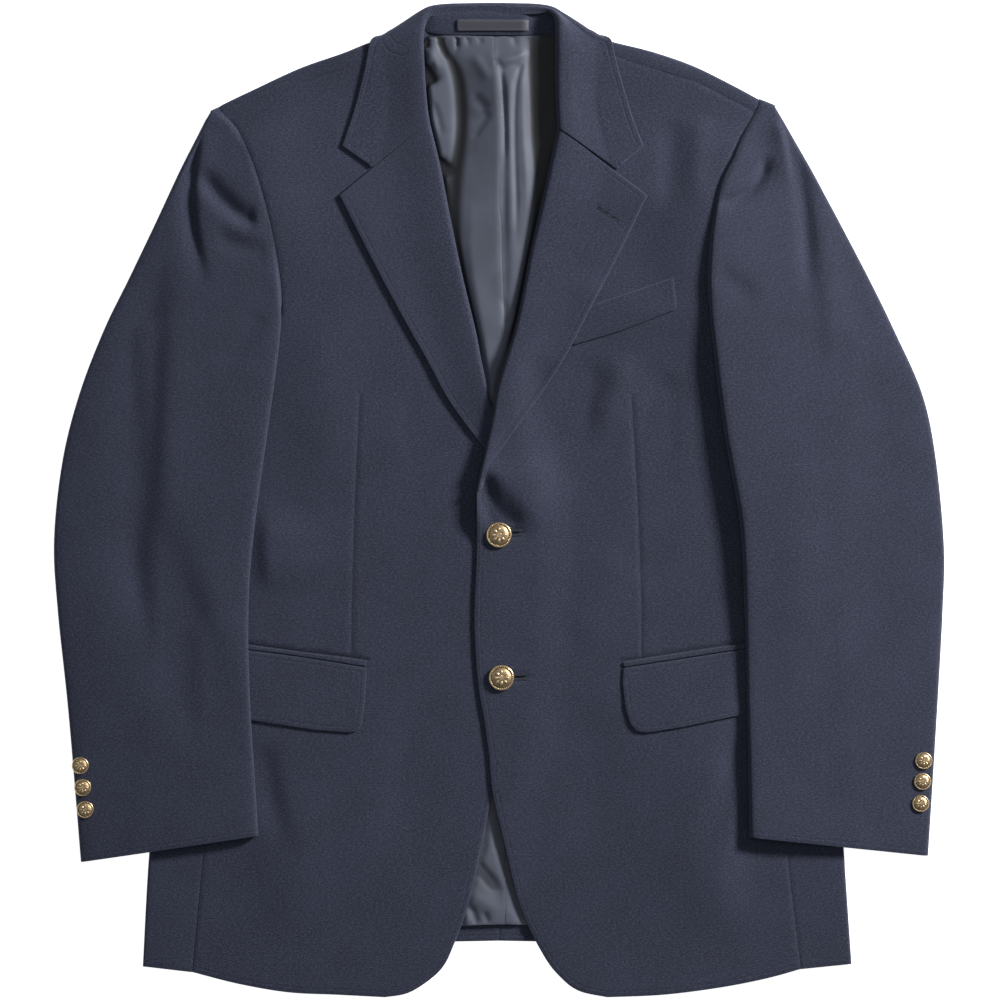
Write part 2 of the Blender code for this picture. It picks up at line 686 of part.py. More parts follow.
def roll_section(roll, edge, radius, level, thickness, shares, turn=1.0):
    """The middle line of a lapel or collar: from the front's edge, round the roll and out to its own edge."""
    d = Vector((edge[0] - roll[0], edge[1] - roll[1]))
    width = d.length
    d.normalize()
    at_roll = level(*roll)
    low = at_roll - CLEAR - FRONT_WALL / 2
    radius_in = radius + thickness / 2
    row = [(roll[0] + d.x * 3.7, roll[1] + d.y * 3.7, low)]
    for angle in (0, 36, 72, 108, 144, 180):
        a = math.radians(angle)
        u = radius_in - radius * math.sin(a)
        row.append((roll[0] + d.x * u, roll[1] + d.y * u, low + radius * (1 - math.cos(a))))
    crest = low + 2 * radius
    for share in shares:
        u = radius_in + (width - radius_in) * share
        x, y = roll[0] + d.x * u, roll[1] + d.y * u
        lay = level(x, y) + thickness / 2
        row.append((x, y, max(lay, lay + (crest - lay) * (1 - smooth((u - radius_in) / 26)))))
    return row


def lapel(side):
    def level(x, y):
        return lapel_level(side, x, y)

    grid = []
    for rx, ry, ex, ey, radius in curve(LAPELS[side.name], 25):
        grid.append(roll_section((rx, ry), (ex, ey), radius, level, LAPEL_WALL,
                                 (0.1, 0.22, 0.36, 0.52, 0.68, 0.84, 1)))
    return band(f"lapel_{side.name}", grid, LAPEL_WALL, "cloth")


def collar():
    """The fall: on the fronts from the gorge to the shoulders, then under the back neck."""
    return band("collar", [collar_section(row) for row in COLLAR], COLLAR_WALL, "cloth")


def collar_section(r):
    side = LEFT if r.roll_x > 0 else RIGHT
    half = COLLAR_WALL / 2
    roll, far, edge = (Vector((r.roll_x, r.roll_y)), Vector((r.far_x, r.far_y)),
                       Vector((r.edge_x, r.edge_y)))
    d = (far - roll).normalized()
    low = neck_rise(*roll) + FRONT_LEVEL + FRONT_WALL / 2
    radius = (r.crest - low) / 2 if r.turn == 1 else 2.0

    def lay(at):
        return r.lay or on_front(side, at.x, at.y) + half

    row = []
    for i, angle in enumerate((180, 180, 135, 90, 45, 0)):
        a = math.radians(angle)
        turned_u = radius + half - radius * math.sin(a) if i else 3.6
        turned_z = low + radius * (1 + math.cos(a)) if i else low
        level_u = -4.5 + 1.14 * i
        u = turned_u * r.turn + level_u * (1 - r.turn)
        at = roll + d * u
        row.append((at.x, at.y, turned_z * r.turn + r.crest * (1 - r.turn)))
    start = roll + d * ((radius + half) * r.turn + 1.2 * (1 - r.turn))
    fold = ((r.lay or 0) - half) / 2
    stop = far - d * (fold + half) if r.under else far
    for share in (0.22, 0.5, 0.82):
        at = start.lerp(stop, share)
        row.append((at.x, at.y, lay(at) + (r.crest - lay(at)) * (1 - smooth(share * 1.1))))
    turn = math.pi * r.under
    out = (edge - stop).normalized() if r.under < 1 else d
    for i in range(5):
        if r.under:
            a = turn * i / 4
            at = stop + out * fold * math.sin(a)
            row.append((at.x, at.y, r.lay - fold * (1 - math.cos(a))))
        else:
            at = stop.lerp(edge, 0.12 * i)
            row.append((at.x, at.y, lay(at)))
    last = Vector(row[-1])
    for share in (0.33, 0.67, 1):
        if r.under == 0.5:
            row.append((last.x, last.y, last.z - 2.4 * share))
        elif r.under:
            row.append((last.x + (edge.x - last.x) * share, last.y + (edge.y - last.y) * share, half))
        else:
            at = last.xy.lerp(edge, share)
            row.append((at.x, at.y, lay(at)))
    return row


def stand():
    outline = joined(curve(STAND_BOTTOM, 10), curve(STAND_TOP, 10))
    return sheet("collar_stand", outline, stand_level, COLLAR_WALL, 8, "cloth")


def label():
    outline = [(x, y) for x, y in LABEL]
    outline = joined(resampled(outline + [outline[0]], 6))

    def level(x, y):
        return stand_level(x, y) + COLLAR_WALL + CLEAR

    return sheet("neck_label", outline, level, LABEL_WALL, 6, "label")


# The sleeves.

def sleeve_rows(side, finer=1):
    """The table's rows with more between them where the sleeve is long and soft."""
    table = SLEEVES[side.name]
    ends = [table[0], *table, table[-1]]
    rows = []
    for i, (a, b, c, d) in enumerate(zip(ends, ends[1:], ends[2:], ends[3:])):
        count = finer * (1 if i < 3 else 2 if i < 9 else 3)
        rows += [Edge(*(blend(v, j / count) for v in zip(a, b, c, d))) for j in range(count)]
    return rows + [table[-1]]


def sleeve_top(side):
    """The height of a top sleeve's outer face at a point, from its share of the way across."""
    support = sleeve_support(side)
    folds = SLEEVE_FOLDS[side.name]

    def level(x, y, share, open_side):
        crown = math.sin(math.pi * min(max(share, 0), 1)) ** 0.6
        ground = support(x, y)
        ground += (max(ground, 0.6) - ground) * open_side * smooth(share * 1.4 - 0.2)
        lift = SLEEVE_EDGE + (SLEEVE_LOFT - SLEEVE_EDGE) * crown
        return ground + 2 * SLEEVE_WALL + lift + fold_height(x, y, folds) * crown

    return level


def top_sleeve(side):
    """The upper wall, which turns under at both folds; at the armhole it ends on the seam."""
    support = sleeve_support(side)
    top_face = sleeve_top(side)
    half = SLEEVE_WALL / 2
    grid = []
    for e in sleeve_rows(side):
        outer, inner = Vector((e.outer_x, e.outer_y)), Vector((e.inner_x, e.inner_y))
        width = (inner - outer).length
        d = (inner - outer) / width
        open_side = smooth((e.inner_y - 148) / 15)
        tuck = min(SLEEVE_TUCK, width * 0.3)
        edge_radius = (SLEEVE_WALL + SLEEVE_EDGE) / 2
        low = support(*outer) + half
        row = []
        for u, angle in ((tuck, 0), (tuck * 0.5, 0), (2.4, 0), (None, 45), (None, 90), (None, 135)):
            a = math.radians(angle)
            if u is None:
                u = edge_radius + half - edge_radius * math.sin(a)
                at = outer + d * u
                row.append((at.x, at.y, low + edge_radius * (1 - math.cos(a))))
            else:
                at = outer + d * u
                row.append((at.x, at.y, support(at.x, at.y) + half))
        for share in (0, 0.09, 0.2, 0.33, 0.46, 0.59, 0.72, 0.86, 1):
            u = 2.6 + (width - 5.2) * share
            at = outer + d * u
            row.append((at.x, at.y, top_face(at.x, at.y, share, open_side) - half))
        base = support(*(inner - d * 2.6)) + half
        top = row[-1][2]
        for angle in (45, 90, 135, 180):
            a = math.radians(angle)
            r = (top - base) / 2
            u = 2.6 - min(r, 1.8) * math.sin(a)
            at = inner - d * u
            shut = (at.x, at.y, base + r * (1 + math.cos(a)))
            at = inner - d * (2.6 - 2.0 * angle / 180)
            seam_z = FRONT_LEVEL + FRONT_WALL / 2 + 0.4
            left_open = (at.x, at.y, top + (seam_z - top) * smooth(angle / 180))
            row.append(tuple(p + (q - p) * open_side for p, q in zip(shut, left_open)))
        for u in (tuck * 0.6, tuck):
            at = inner - d * u
            shut = (at.x, at.y, support(at.x, at.y) + half)
            at = inner - d * (0.6 - 0.1 * u / tuck)
            left_open = (at.x, at.y, row[-1][2] - 0.6)
            row.append(tuple(p + (q - p) * open_side for p, q in zip(shut, left_open)))
        grid.append(row)
    return band(f"top_sleeve_{side.name}", grid, SLEEVE_WALL, "cloth")


def under_sleeve(side):
    """The lower wall, from the back armhole to the cuff, between the two seams."""
    s = side.sign
    support = sleeve_support(side)
    rows = sleeve_rows(side)
    outer, inner = [], []
    for e in rows:
        a, b = Vector((e.outer_x, e.outer_y)), Vector((e.inner_x, e.inner_y))
        width = (b - a).length
        d = (b - a) / width
        tuck = min(SLEEVE_TUCK, width * 0.3) + 2 * CLEAR
        if e.outer_y < 310:
            outer.append(tuple(a + d * tuck))
        if e.inner_y < 112:
            inner.append(tuple(b - d * tuck))
    armhole = moved(curve(mirrored(BACK_ARMHOLE, side), 18), -0.6 * s)
    armhole = [p for p in armhole if 150 < p[1] < 304]
    across = mirrored(points((242, 140), (222, 120), (204, 112)), side)
    outline = joined(outer, inner[::-1], across[::-1], armhole)
    return sheet(f"under_sleeve_{side.name}", outline, support, SLEEVE_WALL, 27, "cloth")


# What lies on the panels.

def patch(name, side, outline, thickness, step, look):
    def level(x, y):
        return on_front(side, x, y)

    closed = resampled(list(outline) + [outline[0]], step)
    corners = joined(outline if len(closed) < 4 else closed)
    return sheet(name, corners, level, thickness, step * 2, look)


def buttons():
    for i, p in enumerate(FRONT_BUTTONS, 1):
        z = on_front(LEFT, p.x, p.y) + 0.1
        turned(f"front_button_{i}", p.x, p.y, z, FRONT_BUTTON, 7.0, "brass", 18)
    for side in (RIGHT, LEFT):
        top_face = sleeve_top(side)
        edges = SLEEVES[side.name][-2:]
        for i, p in enumerate(CUFF_BUTTONS[side.name], 1):
            outer = x_at([(e.outer_x, e.outer_y) for e in edges], p.y)
            width = abs(edges[0].inner_x - outer)
            z = max(top_face(p.x + dx, p.y, (abs(p.x + dx - outer) - 2.6) / width, 0) for dx in (-6, 0, 6)) + CLEAR
            turned(f"cuff_button_{side.name}_{i}", p.x, p.y, z, CUFF_BUTTON, 5.0, "brass", 12)


def main():
    for obj in list(bpy.data.objects):
        bpy.data.objects.remove(obj, do_unlink=True)
    for side in (RIGHT, LEFT):
        back(side)
        back_lining(side)
        side_panel(side)
        front(side)
        lapel(side)
        top_sleeve(side)
        under_sleeve(side)
        patch(f"pocket_flap_{side.name}", side, FLAPS[side.name], FLAP_WALL, 9, "cloth")
        patch(f"pocket_jet_{side.name}", side, JETS[side.name], FLAP_WALL, 9, "cloth")
    collar()
    stand()
    label()
    patch("chest_welt", LEFT, WELT, FLAP_WALL, 9, "cloth")
    buttons()


main()
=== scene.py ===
"""A sport coat laid flat on its back: cloth, lining, sewing, buttons and the stage, as an add-on.

+X runs to the wearer's left, +Y to the collar and +Z up from the surface. Lengths in the tables are
in millimetres. Each piece of cloth is a thin closed wall that stands for the solid of the same name.
"""

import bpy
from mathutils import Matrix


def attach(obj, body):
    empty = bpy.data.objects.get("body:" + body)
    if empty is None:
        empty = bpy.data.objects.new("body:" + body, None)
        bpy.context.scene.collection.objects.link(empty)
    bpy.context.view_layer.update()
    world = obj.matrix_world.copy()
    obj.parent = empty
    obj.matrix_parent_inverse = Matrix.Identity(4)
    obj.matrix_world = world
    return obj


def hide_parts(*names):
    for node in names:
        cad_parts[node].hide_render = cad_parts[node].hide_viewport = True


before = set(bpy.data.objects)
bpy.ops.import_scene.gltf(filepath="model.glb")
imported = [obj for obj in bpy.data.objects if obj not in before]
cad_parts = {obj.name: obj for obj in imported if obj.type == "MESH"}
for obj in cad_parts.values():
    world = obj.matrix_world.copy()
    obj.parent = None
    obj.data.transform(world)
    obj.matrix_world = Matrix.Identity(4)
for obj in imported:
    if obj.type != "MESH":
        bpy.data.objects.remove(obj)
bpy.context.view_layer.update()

import math
from collections import namedtuple

import bpy
import numpy as np
from bpy.props import FloatProperty, FloatVectorProperty, IntProperty, PointerProperty
from mathutils import Vector
from mathutils.geometry import delaunay_2d_cdt

bl_info = {
    "name": "Sport coat laid flat",
    "version": (1, 0, 0),
    "blender": (4, 5, 0),
    "location": "3D View > Sidebar > Coat",
    "description": "Builds a sport coat that lies flat, with its lining, sewing and buttons",
    "category": "Object",
}

MM = 0.001

# Walls, in millimetres.
CLEAR = 0.3  # the gap between pieces that lie on each other
BACK_WALL = 1.4
LINING_WALL = 1.0
FRONT_WALL = 2.0
LAPEL_WALL = 1.8
COLLAR_WALL = 2.0
SLEEVE_WALL = 1.5
FLAP_WALL = 1.2
LABEL_WALL = 1.0

# Levels of the undersides over the surface.
LINING_LEVEL = BACK_WALL + CLEAR
FRONT_CLEAR = 0.4  # the gap between the lining and the fronts
FRONT_LEVEL = LINING_LEVEL + LINING_WALL + FRONT_CLEAR
ON_FRONT = FRONT_LEVEL + FRONT_WALL + CLEAR
FRONT_LAP = 2.3  # the left front's rise where it lies over the right front
LAPEL_LAP = 2.4  # its further rise where it lies over the right lapel
NECK_RISE = 2.3  # the body's rise where the collar's fall lies beneath the back neck
FLAP_RISE = 1.7  # the sleeve's rise over a pocket flap
HEAD_REST = 3.2  # what a sleeve's head rests on beside the armhole: the back and its lining
FOLD_RADIUS = 2.5  # outer radius of the folds at the sides and shoulders
SHOULDER_STRIP = 10.5  # how far the back comes over the shoulder to its seam
SHOULDER_GAP = {"right": -0.7, "left": -1.4}  # from the strip to the front's edge, negative under it
ARMHOLE_INSET = 0.5  # how far a front's armhole lies off the sleeve's inner fold, towards the middle
HEAD_OUTSET = 2.2  # how far it comes out again near the shoulder
ARMHOLE_SPAN = (148, 318)  # the y between which it follows that fold
NECK_SIDE = 72  # how far from the middle a front's shoulder edge starts
ROLL_INSET = 4.6  # from a roll line to the front's edge under the lapel
SLEEVE_TUCK = 8.0  # how far the top sleeve runs under to its seams

# Distances between the points of the pieces that are made in plan.
BACK_STEP = 9
LINING_STEP = 8
LINING_FINE_STEP = 1.9
STAND_STEP = 3
LABEL_STEP = 2
SLEEVE_STEP = 8
FLAP_STEP = 3
JET_STEP = 2

# What is pressed into the fronts and the left lapel: its half width and its depth. Shade is painted along it
# over the same half width.
DART_PRESS = (1.3, 0.42)
BUTTONHOLE_PRESS = (3.0, 1.7)
POCKET_PRESS = (1.0, 1.0)
LAPEL_HOLE_PRESS = (1.0, 0.8)

EDGE_BULGE = 0.6  # how far a wall's rim swells out, as a share of half its thickness
SEAM_LAP = 0.4  # how far a rim reaches into the gap at a seam
APART = -0.4  # the same for a piece with a gap to be seen round it
PRESS_SHARES = (-1, -0.4, 0.4, 1)  # where lines of points follow a pressed line, in half widths from it
ROW_PITCH = 0.87  # from one row of a panel's points to the next, as a share of their step
LEAST_ROOM = 0.55  # the least distance of a point from a line, as a share of its step
FAR = 30.0  # the distance from an edge where nothing shows of it
NEAR = 1.4  # points of an outline that lie closer than this are taken as one
CHEST = 3.0  # how full the fronts lie over the chest
SKIRT = 1.8  # how full they lie below the waist
LAPEL_CLEAR = 0.2  # the further gap between a lapel and its front
WELT_RISE = 1.9  # the left lapel's rise over the end of the breast pocket's welt
TWILL_PITCH = 0.0009  # of the lining's diagonal, in metres
RIB_PITCH = 0.0006  # of the label's ribs, in metres

Side = namedtuple("Side", "name sign")
RIGHT = Side("right", -1)
LEFT = Side("left", 1)
BOTH = (RIGHT, LEFT)


def table(kind, *rows):
    """Named rows from plain ones."""
    return [kind(*row) for row in rows]


# A sleeve's two folds, from its head down to the cuff.
Edge = namedtuple("Edge", "outer_x outer_y inner_x inner_y")
SLEEVES = {
    "right": table(Edge,
        (-236.5, 317.2, -230, 320.2), (-241.2, 310, -223.5, 313.4), (-246, 300.5, -214.5, 303.5),
        (-262, 269, -201, 274), (-282, 226, -190, 237), (-304, 180, -182, 200), (-324, 139, -178, 164),
        (-344, 87, -180, 127), (-358, 32, -189, 59), (-365, -33, -200, -21), (-362, -91, -205, -82),
        (-353, -177, -204, -160), (-343, -297, -197, -275)),
    "left": table(Edge,
        (226.4, 321.8, 213.5, 327), (233, 311, 206, 312.5), (243, 293.5, 197.5, 297),
        (257, 269, 190.5, 281), (268.5, 247.5, 181.5, 263), (280, 226, 177, 246), (304, 180, 172, 210),
        (324, 139, 170.5, 172), (347, 87, 175, 127), (358, 36, 184, 57), (365, -37, 197, -18),
        (364, -91, 201, -91), (359, -181, 203, -164), (352, -292, 205, -276)),
}

# A fold in the cloth: its height (a trough is negative), its half width to the left and right of its
# line, which runs from its first point to its last, and the shares of the line where it fades in and out.
Fold = namedtuple("Fold", "height left right line fade_in fade_out", defaults=(0.3, 0.3))
SLEEVE_FOLDS = {
    "right": [
        Fold(-4.4, 3.2, 9, ((-246, 307), (-249, 287), (-252, 266), (-252, 241), (-249, 217), (-243, 190),
                            (-238, 166)), 0.12, 0.45),
        Fold(1.4, 12, 5, ((-240, 304), (-244, 262), (-240, 225)), 0.2, 0.4),
        Fold(-4.8, 8, 7, ((-247, 276), (-242, 264), (-234, 253), (-225, 243.5), (-217, 236.5), (-209, 231),
                         (-196, 231)), 0.3, 0.12),
        Fold(1.2, 9, 7, ((-228, 230), (-212, 221), (-190, 217)), 0.3, 0.1),
        Fold(-1.8, 7, 9, ((-234, 220), (-214, 208), (-190, 204)), 0.3, 0.1),
        Fold(-3.4, 11, 24, ((-276, 225), (-284, 139), (-289, 46), (-293, -20), (-294, -80), (-292, -130))),
        Fold(1.8, 20, 12, ((-266, 170), (-271, 100), (-272, 20), (-270, -40))),
        Fold(-5.4, 22, 28, ((-292, -6), (-280, -50), (-262, -99), (-243, -156), (-226, -214)), 0.25, 0.35),
        Fold(1.4, 18, 18, ((-252, -40), (-232, -90), (-218, -140)), 0.35, 0.35),
        Fold(-1.4, 8, 12, ((-190, 150), (-214, 120), (-240, 104)), 0.1, 0.5),
    ],
    "left": [
        Fold(2.8, 4, 9, ((230, 316), (232, 298), (234, 280), (238, 250)), 0.2, 0.5),
        Fold(-3.2, 6, 7, ((246, 288), (248.5, 260), (252, 217), (254, 160)), 0.25, 0.4),
        Fold(1.4, 14, 8, ((262, 266), (267, 215), (270, 160), (276, 90)), 0.3, 0.4),
        Fold(-5.4, 6, 4.2, ((220, 284), (217, 270), (211, 259), (203, 252), (193, 246), (183, 243),
                            (176, 242)), 0.25, 0.05),
        Fold(-1.6, 8, 11, ((176, 186), (196, 174), (216, 158)), 0.1, 0.5),
        Fold(-1.2, 22, 26, ((296, 150), (312, 40), (310, -60), (296, -150))),
        Fold(1.0, 20, 20, ((240, 70), (244, -40), (242, -130), (238, -210))),
    ],
}
# How high a top sleeve stands over the surface at its outer fold, how much fuller it is in between, how
# its rise bows across it, and how high it stands at its inner fold, at places along it.
SleeveLoft = namedtuple("SleeveLoft", "outer crown bow inner")
SLEEVE_LOFT = {
    "right": SleeveLoft(4.2, 2.0, 0.95, (
        (-290, 9), (-200, 8.5), (-100, 8.5), (0, 9.5), (120, 9.5), (180, 9), (230, 9), (270, 8.5), (300, 7),
        (320, 4.4))),
    "left": SleeveLoft(3.4, 1.4, 1.4, (
        (-290, 13), (-214, 11.6), (-165, 10), (-113, 10.6), (-61, 12.8), (0, 14), (60, 13.6), (130, 15),
        (180, 15.4), (220, 14.2), (250, 12.8), (280, 10.8), (300, 8.5), (320, 4.8))),
}
SLEEVE_TURN = 3.6  # how wide the roll at a sleeve's folds is
HEAD_CAP = 1.4  # how far the sleeve's head rounds off past its top row, down to the surface
ARMHOLE_LIFT = 0.2  # how far a top sleeve's seam lies over the middle of the front's wall
HEAD_ROLL = 0.7  # how far the sleeve's head stands over that seam
NARROW_TUCK, NARROW_TURN = 0.3, 0.16  # the most that a tuck and a roll take of a narrow sleeve's width
OUTER_BULGE, INNER_BULGE = 0.6, 0.8  # from the plan's outline to the middle of the wall at the two folds
CROWN_LOSS = 0.75  # the share of its fullness that a top sleeve loses towards its head
LEAST_LOFT = 1.2  # how far a top sleeve stands at least over what is under it
LOFT_BLEND = 3.0  # how softly its own form goes over into that least height, in square millimetres
OPEN_EDGE = (0.4, 0.2)  # from the armhole seam to the top sleeve's edge, and how far it reaches back
OPEN_DROP = 0.8  # how far that edge dips at the seam
UNDER_GAP = 0.6  # how far an under sleeve stays off the back's armhole
UNDER_FOLDS = (310, 112)  # the y below which its edges follow the sleeve's outer and inner folds
UNDER_ARMHOLE = (150, 304)  # the y between which it follows the back's armhole
UNDER_FROM = ((242, 140), (222, 120), (204, 112))  # its edge across the armhole's lower end
SEAM_EASE = 6.0  # how far from the armhole seam the sleeve's head rises to its fullness

# Soft waves of the body's cloth, where the coat's shape and its closing draw it.
FRONT_FOLDS = {
    "right": [
        Fold(-2.2, 16, 22, ((-60, 110), (-52, 60), (-36, 14), (-18, -24)), 0.3, 0.2),
        Fold(2.6, 26, 30, ((-150, 180), (-148, 110), (-142, 40), (-136, -10)), 0.3, 0.4),
        Fold(4.0, 40, 9, ((-186, 0), (-189, -40), (-186, -82)), 0.4, 0.4),
        Fold(4.0, 40, 12, ((-216, 308), (-200, 276), (-188, 236), (-181, 200), (-177, 160)), 0.15, 0.4),
        Fold(-1.6, 22, 22, ((-60, -150), (-72, -230), (-88, -310)), 0.3, 0.4),
        Fold(1.6, 24, 24, ((-160, -210), (-166, -290), (-170, -370)), 0.4, 0.3),
        Fold(-2.2, 9, 12, ((-196, -196), (-190, -230), (-182, -262), (-170, -300)), 0.2, 0.5),
    ],
    "left": [
        Fold(4.6, 12, 15, ((-19, -39), (-20, -14), (-18, 12), (-14, 34), (-9, 58)), 0.3, 0.55),
        Fold(1.2, 14, 24, ((-8, 60), (14, 148), (30, 210)), 0.3, 0.4),
        Fold(-6.0, 4.5, 8, ((-10, 24), (-9, 8), (-5, -6), (0, -15), (9, -19), (16, -26)), 0.2, 0.25),
        Fold(5.5, 34, 12, ((-3, 34), (6, 16), (18, 0), (32, -14), (44, -26)), 0.3, 0.45),
        Fold(3.0, 12, 42, ((206, 314), (192, 286), (182, 262), (177, 244), (174, 222), (172, 200)),
             0.35, 0.5),
        Fold(4.2, 14, 62, ((184, 276), (181, 220), (179, 170), (179, 100)), 0.4, 0.35),
        Fold(-2.4, 30, 30, ((112, 250), (118, 200), (120, 150))),
        Fold(1.7, 9, 9, ((164, 318), (163, 280), (158, 232)), 0.2, 0.4),
        Fold(-1.6, 9, 9, ((141, 314), (140, 272), (136, 232)), 0.2, 0.4),
        Fold(2.6, 14, 13, ((106, 124), (93, 86), (80, 44)), 0.3, 0.4),
        Fold(-1.8, 14, 16, ((82, 118), (68, 78), (58, 30)), 0.25, 0.5),
        Fold(-2.0, 14, 14, ((140, 110), (130, 60), (122, 0)), 0.2, 0.4),
        Fold(1.4, 24, 24, ((112, -40), (84, -80), (50, -116))),
        Fold(-1.4, 24, 24, ((60, -150), (74, -230), (92, -310)), 0.3, 0.4),
        Fold(3.4, 22, 44, ((174, -150), (176, -230), (178, -370)), 0.4, 0.3),
        Fold(-1.8, 10, 12, ((196, -190), (188, -230), (176, -270), (166, -310)), 0.2, 0.5),
    ],
}

# The lining's loose folds between the fronts and in the gap at the hem.
LINING_FOLDS = [
    Fold(-3.8, 6, 8, ((-62, 356), (-57, 347), (-52, 338)), 0.15, 0.3),
    Fold(-2.6, 4, 5, ((-50, 282), (-45, 274), (-38, 265))),
    Fold(-1.0, 2.6, 5, ((-7, 319), (-15, 306), (-23, 294)), 0.2, 0.3),
    Fold(1.7, 3, 3, ((-2, 358), (8, 361), (16, 363), (24, 369)), 0.15, 0.3),
    Fold(-1.2, 3, 4, ((1, 352), (12, 354), (20, 358)), 0.15, 0.3),
    Fold(-1.5, 1.4, 1.8, ((22, 364), (15, 344), (13, 322), (13, 292), (14, 262), (14.5, 236), (14, 205)),
         0.1, 0.3),
    Fold(0.9, 2.6, 3, ((21, 352), (19.5, 326), (20, 294), (22, 262), (21, 232)), 0.15, 0.3),
    Fold(1.0, 3, 3, ((9, 350), (8.4, 320), (8.6, 280), (9, 230), (9, 190)), 0.1, 0.3),
    Fold(-1.0, 2, 2.6, ((2, 168), (6, 154), (5, 138))),
    Fold(-1.6, 1.5, 2.0, ((0.5, 364), (3, 342), (4.8, 318), (5.6, 296), (5.2, 268)), 0.2, 0.3),
    Fold(1.1, 4, 5, ((-22, 366), (-14, 354), (-7, 342))),
    Fold(-1.2, 4, 5, ((-22, 334), (-15, 325), (-8, 318))),
    Fold(1.2, 3, 3, ((-60, 374), (-54, 363), (-49, 350)), 0.2, 0.3),
    Fold(-1.2, 3, 3, ((-56, 330), (-50, 312), (-47, 296))),
    Fold(-2.4, 1.8, 2.2, ((-59, 381), (-58, 372), (-56, 363)), 0.02, 0.5),
    Fold(-2.6, 1.8, 2.2, ((-49, 381), (-47, 372), (-42, 360)), 0.02, 0.5),
    Fold(-2.0, 1.6, 1.8, ((-34, 381), (-34, 373), (-36, 364)), 0.02, 0.6),
    Fold(-1.1, 1.6, 2.0, ((-26, 380), (-25, 375), (-25, 370)), 0.02, 0.6),
    Fold(-1.0, 1.6, 2.0, ((-16, 380), (-15, 375), (-14, 371)), 0.02, 0.6),
    Fold(-1.0, 2, 2.4, ((12, 380), (13, 375), (16, 370)), 0.02, 0.6),
    Fold(-2.6, 4, 6, ((-30, -290), (-19, -299), (-8, -312), (5, -328)), 0.1, 0.35),
    Fold(1.4, 6, 7, ((-34, -318), (-18, -328), (4, -340))),
    Fold(-1.3, 2.4, 3, ((-24, -332), (-20, -341), (-18, -348)), 0.3, 0.05),
    Fold(1.0, 2.4, 3, ((-29, -334), (-26, -342), (-25, -348)), 0.3, 0.05),
    Fold(-1.1, 2, 2.4, ((-12, -338), (-9, -347)), 0.3, 0.05),
    Fold(-1.6, 3, 4, ((-10, -262), (-12, -280), (-17, -300))),
]
# The lining's large planes between the fronts: at a y, the x and the height of each crease between them.
LINING_ROWS = (
    (382, -64, 1.2, -52, 1.2, -47, 0.8, -40, 1.2, -4, 1.4, 0, 1.3, 10, 1.3, 18, 1.2, 26, 0.6, 46, 0),
    (370, -64, 2.6, -52, 2.0, -45, 0.4, -36, 2.2, -4.5, 3.9, -1, 3.2, 9, 3.2, 18, 2.6, 26, 0.5, 46, 0),
    (358, -63, 3.6, -46, 2.8, -38.5, 0.2, -31, 2.2, -4, 6.6, 0, 5.2, 9, 5.4, 19, 4.0, 26, 0.5, 46, 0),
    (342, -62, 4.0, -41, 3.0, -34, 0.1, -26, 2.0, -2.5, 7.4, 1.5, 5.9, 10, 5.9, 20, 4.3, 26.5, 0.6, 46, 0),
    (318, -60, 4.3, -39, 3.2, -32, 0.1, -24, 2.0, -1, 7.6, 3.5, 6.2, 11, 6.0, 20.5, 4.3, 27.5, 0.8, 46, 0),
    (295, -56, 4.0, -39, 3.0, -33, 0.1, -24, 2.2, 0, 7.3, 4.5, 5.8, 11, 5.8, 21.5, 4.1, 28, 0.9, 47, 0),
    (265, -50, 2.8, -42, 1.8, -37, 0.3, -23, 2.8, -0.5, 6.4, 4, 4.8, 11, 5.4, 24, 3.7, 31, 1.0, 46, 0),
    (235, -45, 1.6, -41, 0.8, -38, 0.3, -23, 3.4, -1, 5.0, 3, 3.5, 12, 4.8, 23, 3.5, 28, 1.6, 40, 0),
    (200, -38, 0.9, -36, 0.5, -34, 0.3, -23, 4.0, -0.5, 4.2, 3.5, 2.8, 11, 4.4, 19, 3.4, 22, 2.4, 30, 0.5),
    (165, -30, 0.8, -28, 0.4, -26.5, 0.3, -18, 4.2, 1.5, 3.9, 5, 2.7, 8, 3.6, 13, 3.3, 15, 2.4, 21, 0.5),
    (130, -21, 0.6, -20, 0.4, -18.5, 0.3, -12, 4.0, 1, 3.4, 3, 2.9, 5, 2.8, 7, 2.5, 8, 1.8, 12, 0.5),
    (95, -13, 0.4, -12.5, 0.4, -12, 0.4, -8, 2.6, -5, 2.6, -4, 2.4, -3, 2.2, -2, 1.8, -1, 1.2, 1, 0.4),
    (60, -8, 0, -7, 0, -6, 0, -5, 0, -4, 0, -3, 0, -2, 0, -1, 0, 0, 0, 1, 0),
)
LINING_SEAM = ((-4.5, 379), (-3.5, 359), (0, 336), (1, 301), (0, 253), (2, 223), (2.5, 194), (3.7, 164),
               (5, 130))
CREASE_ROUNDING = (-1.8, -0.9, 0, 0.9, 1.8)  # a mean over these shifts across rounds the creases
LINING_SHOWS = ((-66, 20, 60, 384), (-44, -352, 26, -230))  # where the lining shows, as boxes in plan
LINING_SEAM_LAP = 0.6  # how far the two halves reach into their seam
HEM_LINING_LIFT = 1.6  # how far the lining stands up between the fronts at the hem

# Thin sewn lines pressed into the fronts, with shade painted along them: darts and the slits of the
# buttonholes.
DARTS = {
    "right": ((-114, 84), (-118, -2), (-120, -69), (-121, -125)),
    "left": ((109, 83), (114, -1), (117, -81), (117, -129)),
}
SLITS = {
    "right": (),
    "left": (((-4, -28), (19, -27.2)), ((-2, -146), (23, -145.4))),
}
LAPEL_SLIT = ((81, 240), (99, 228))

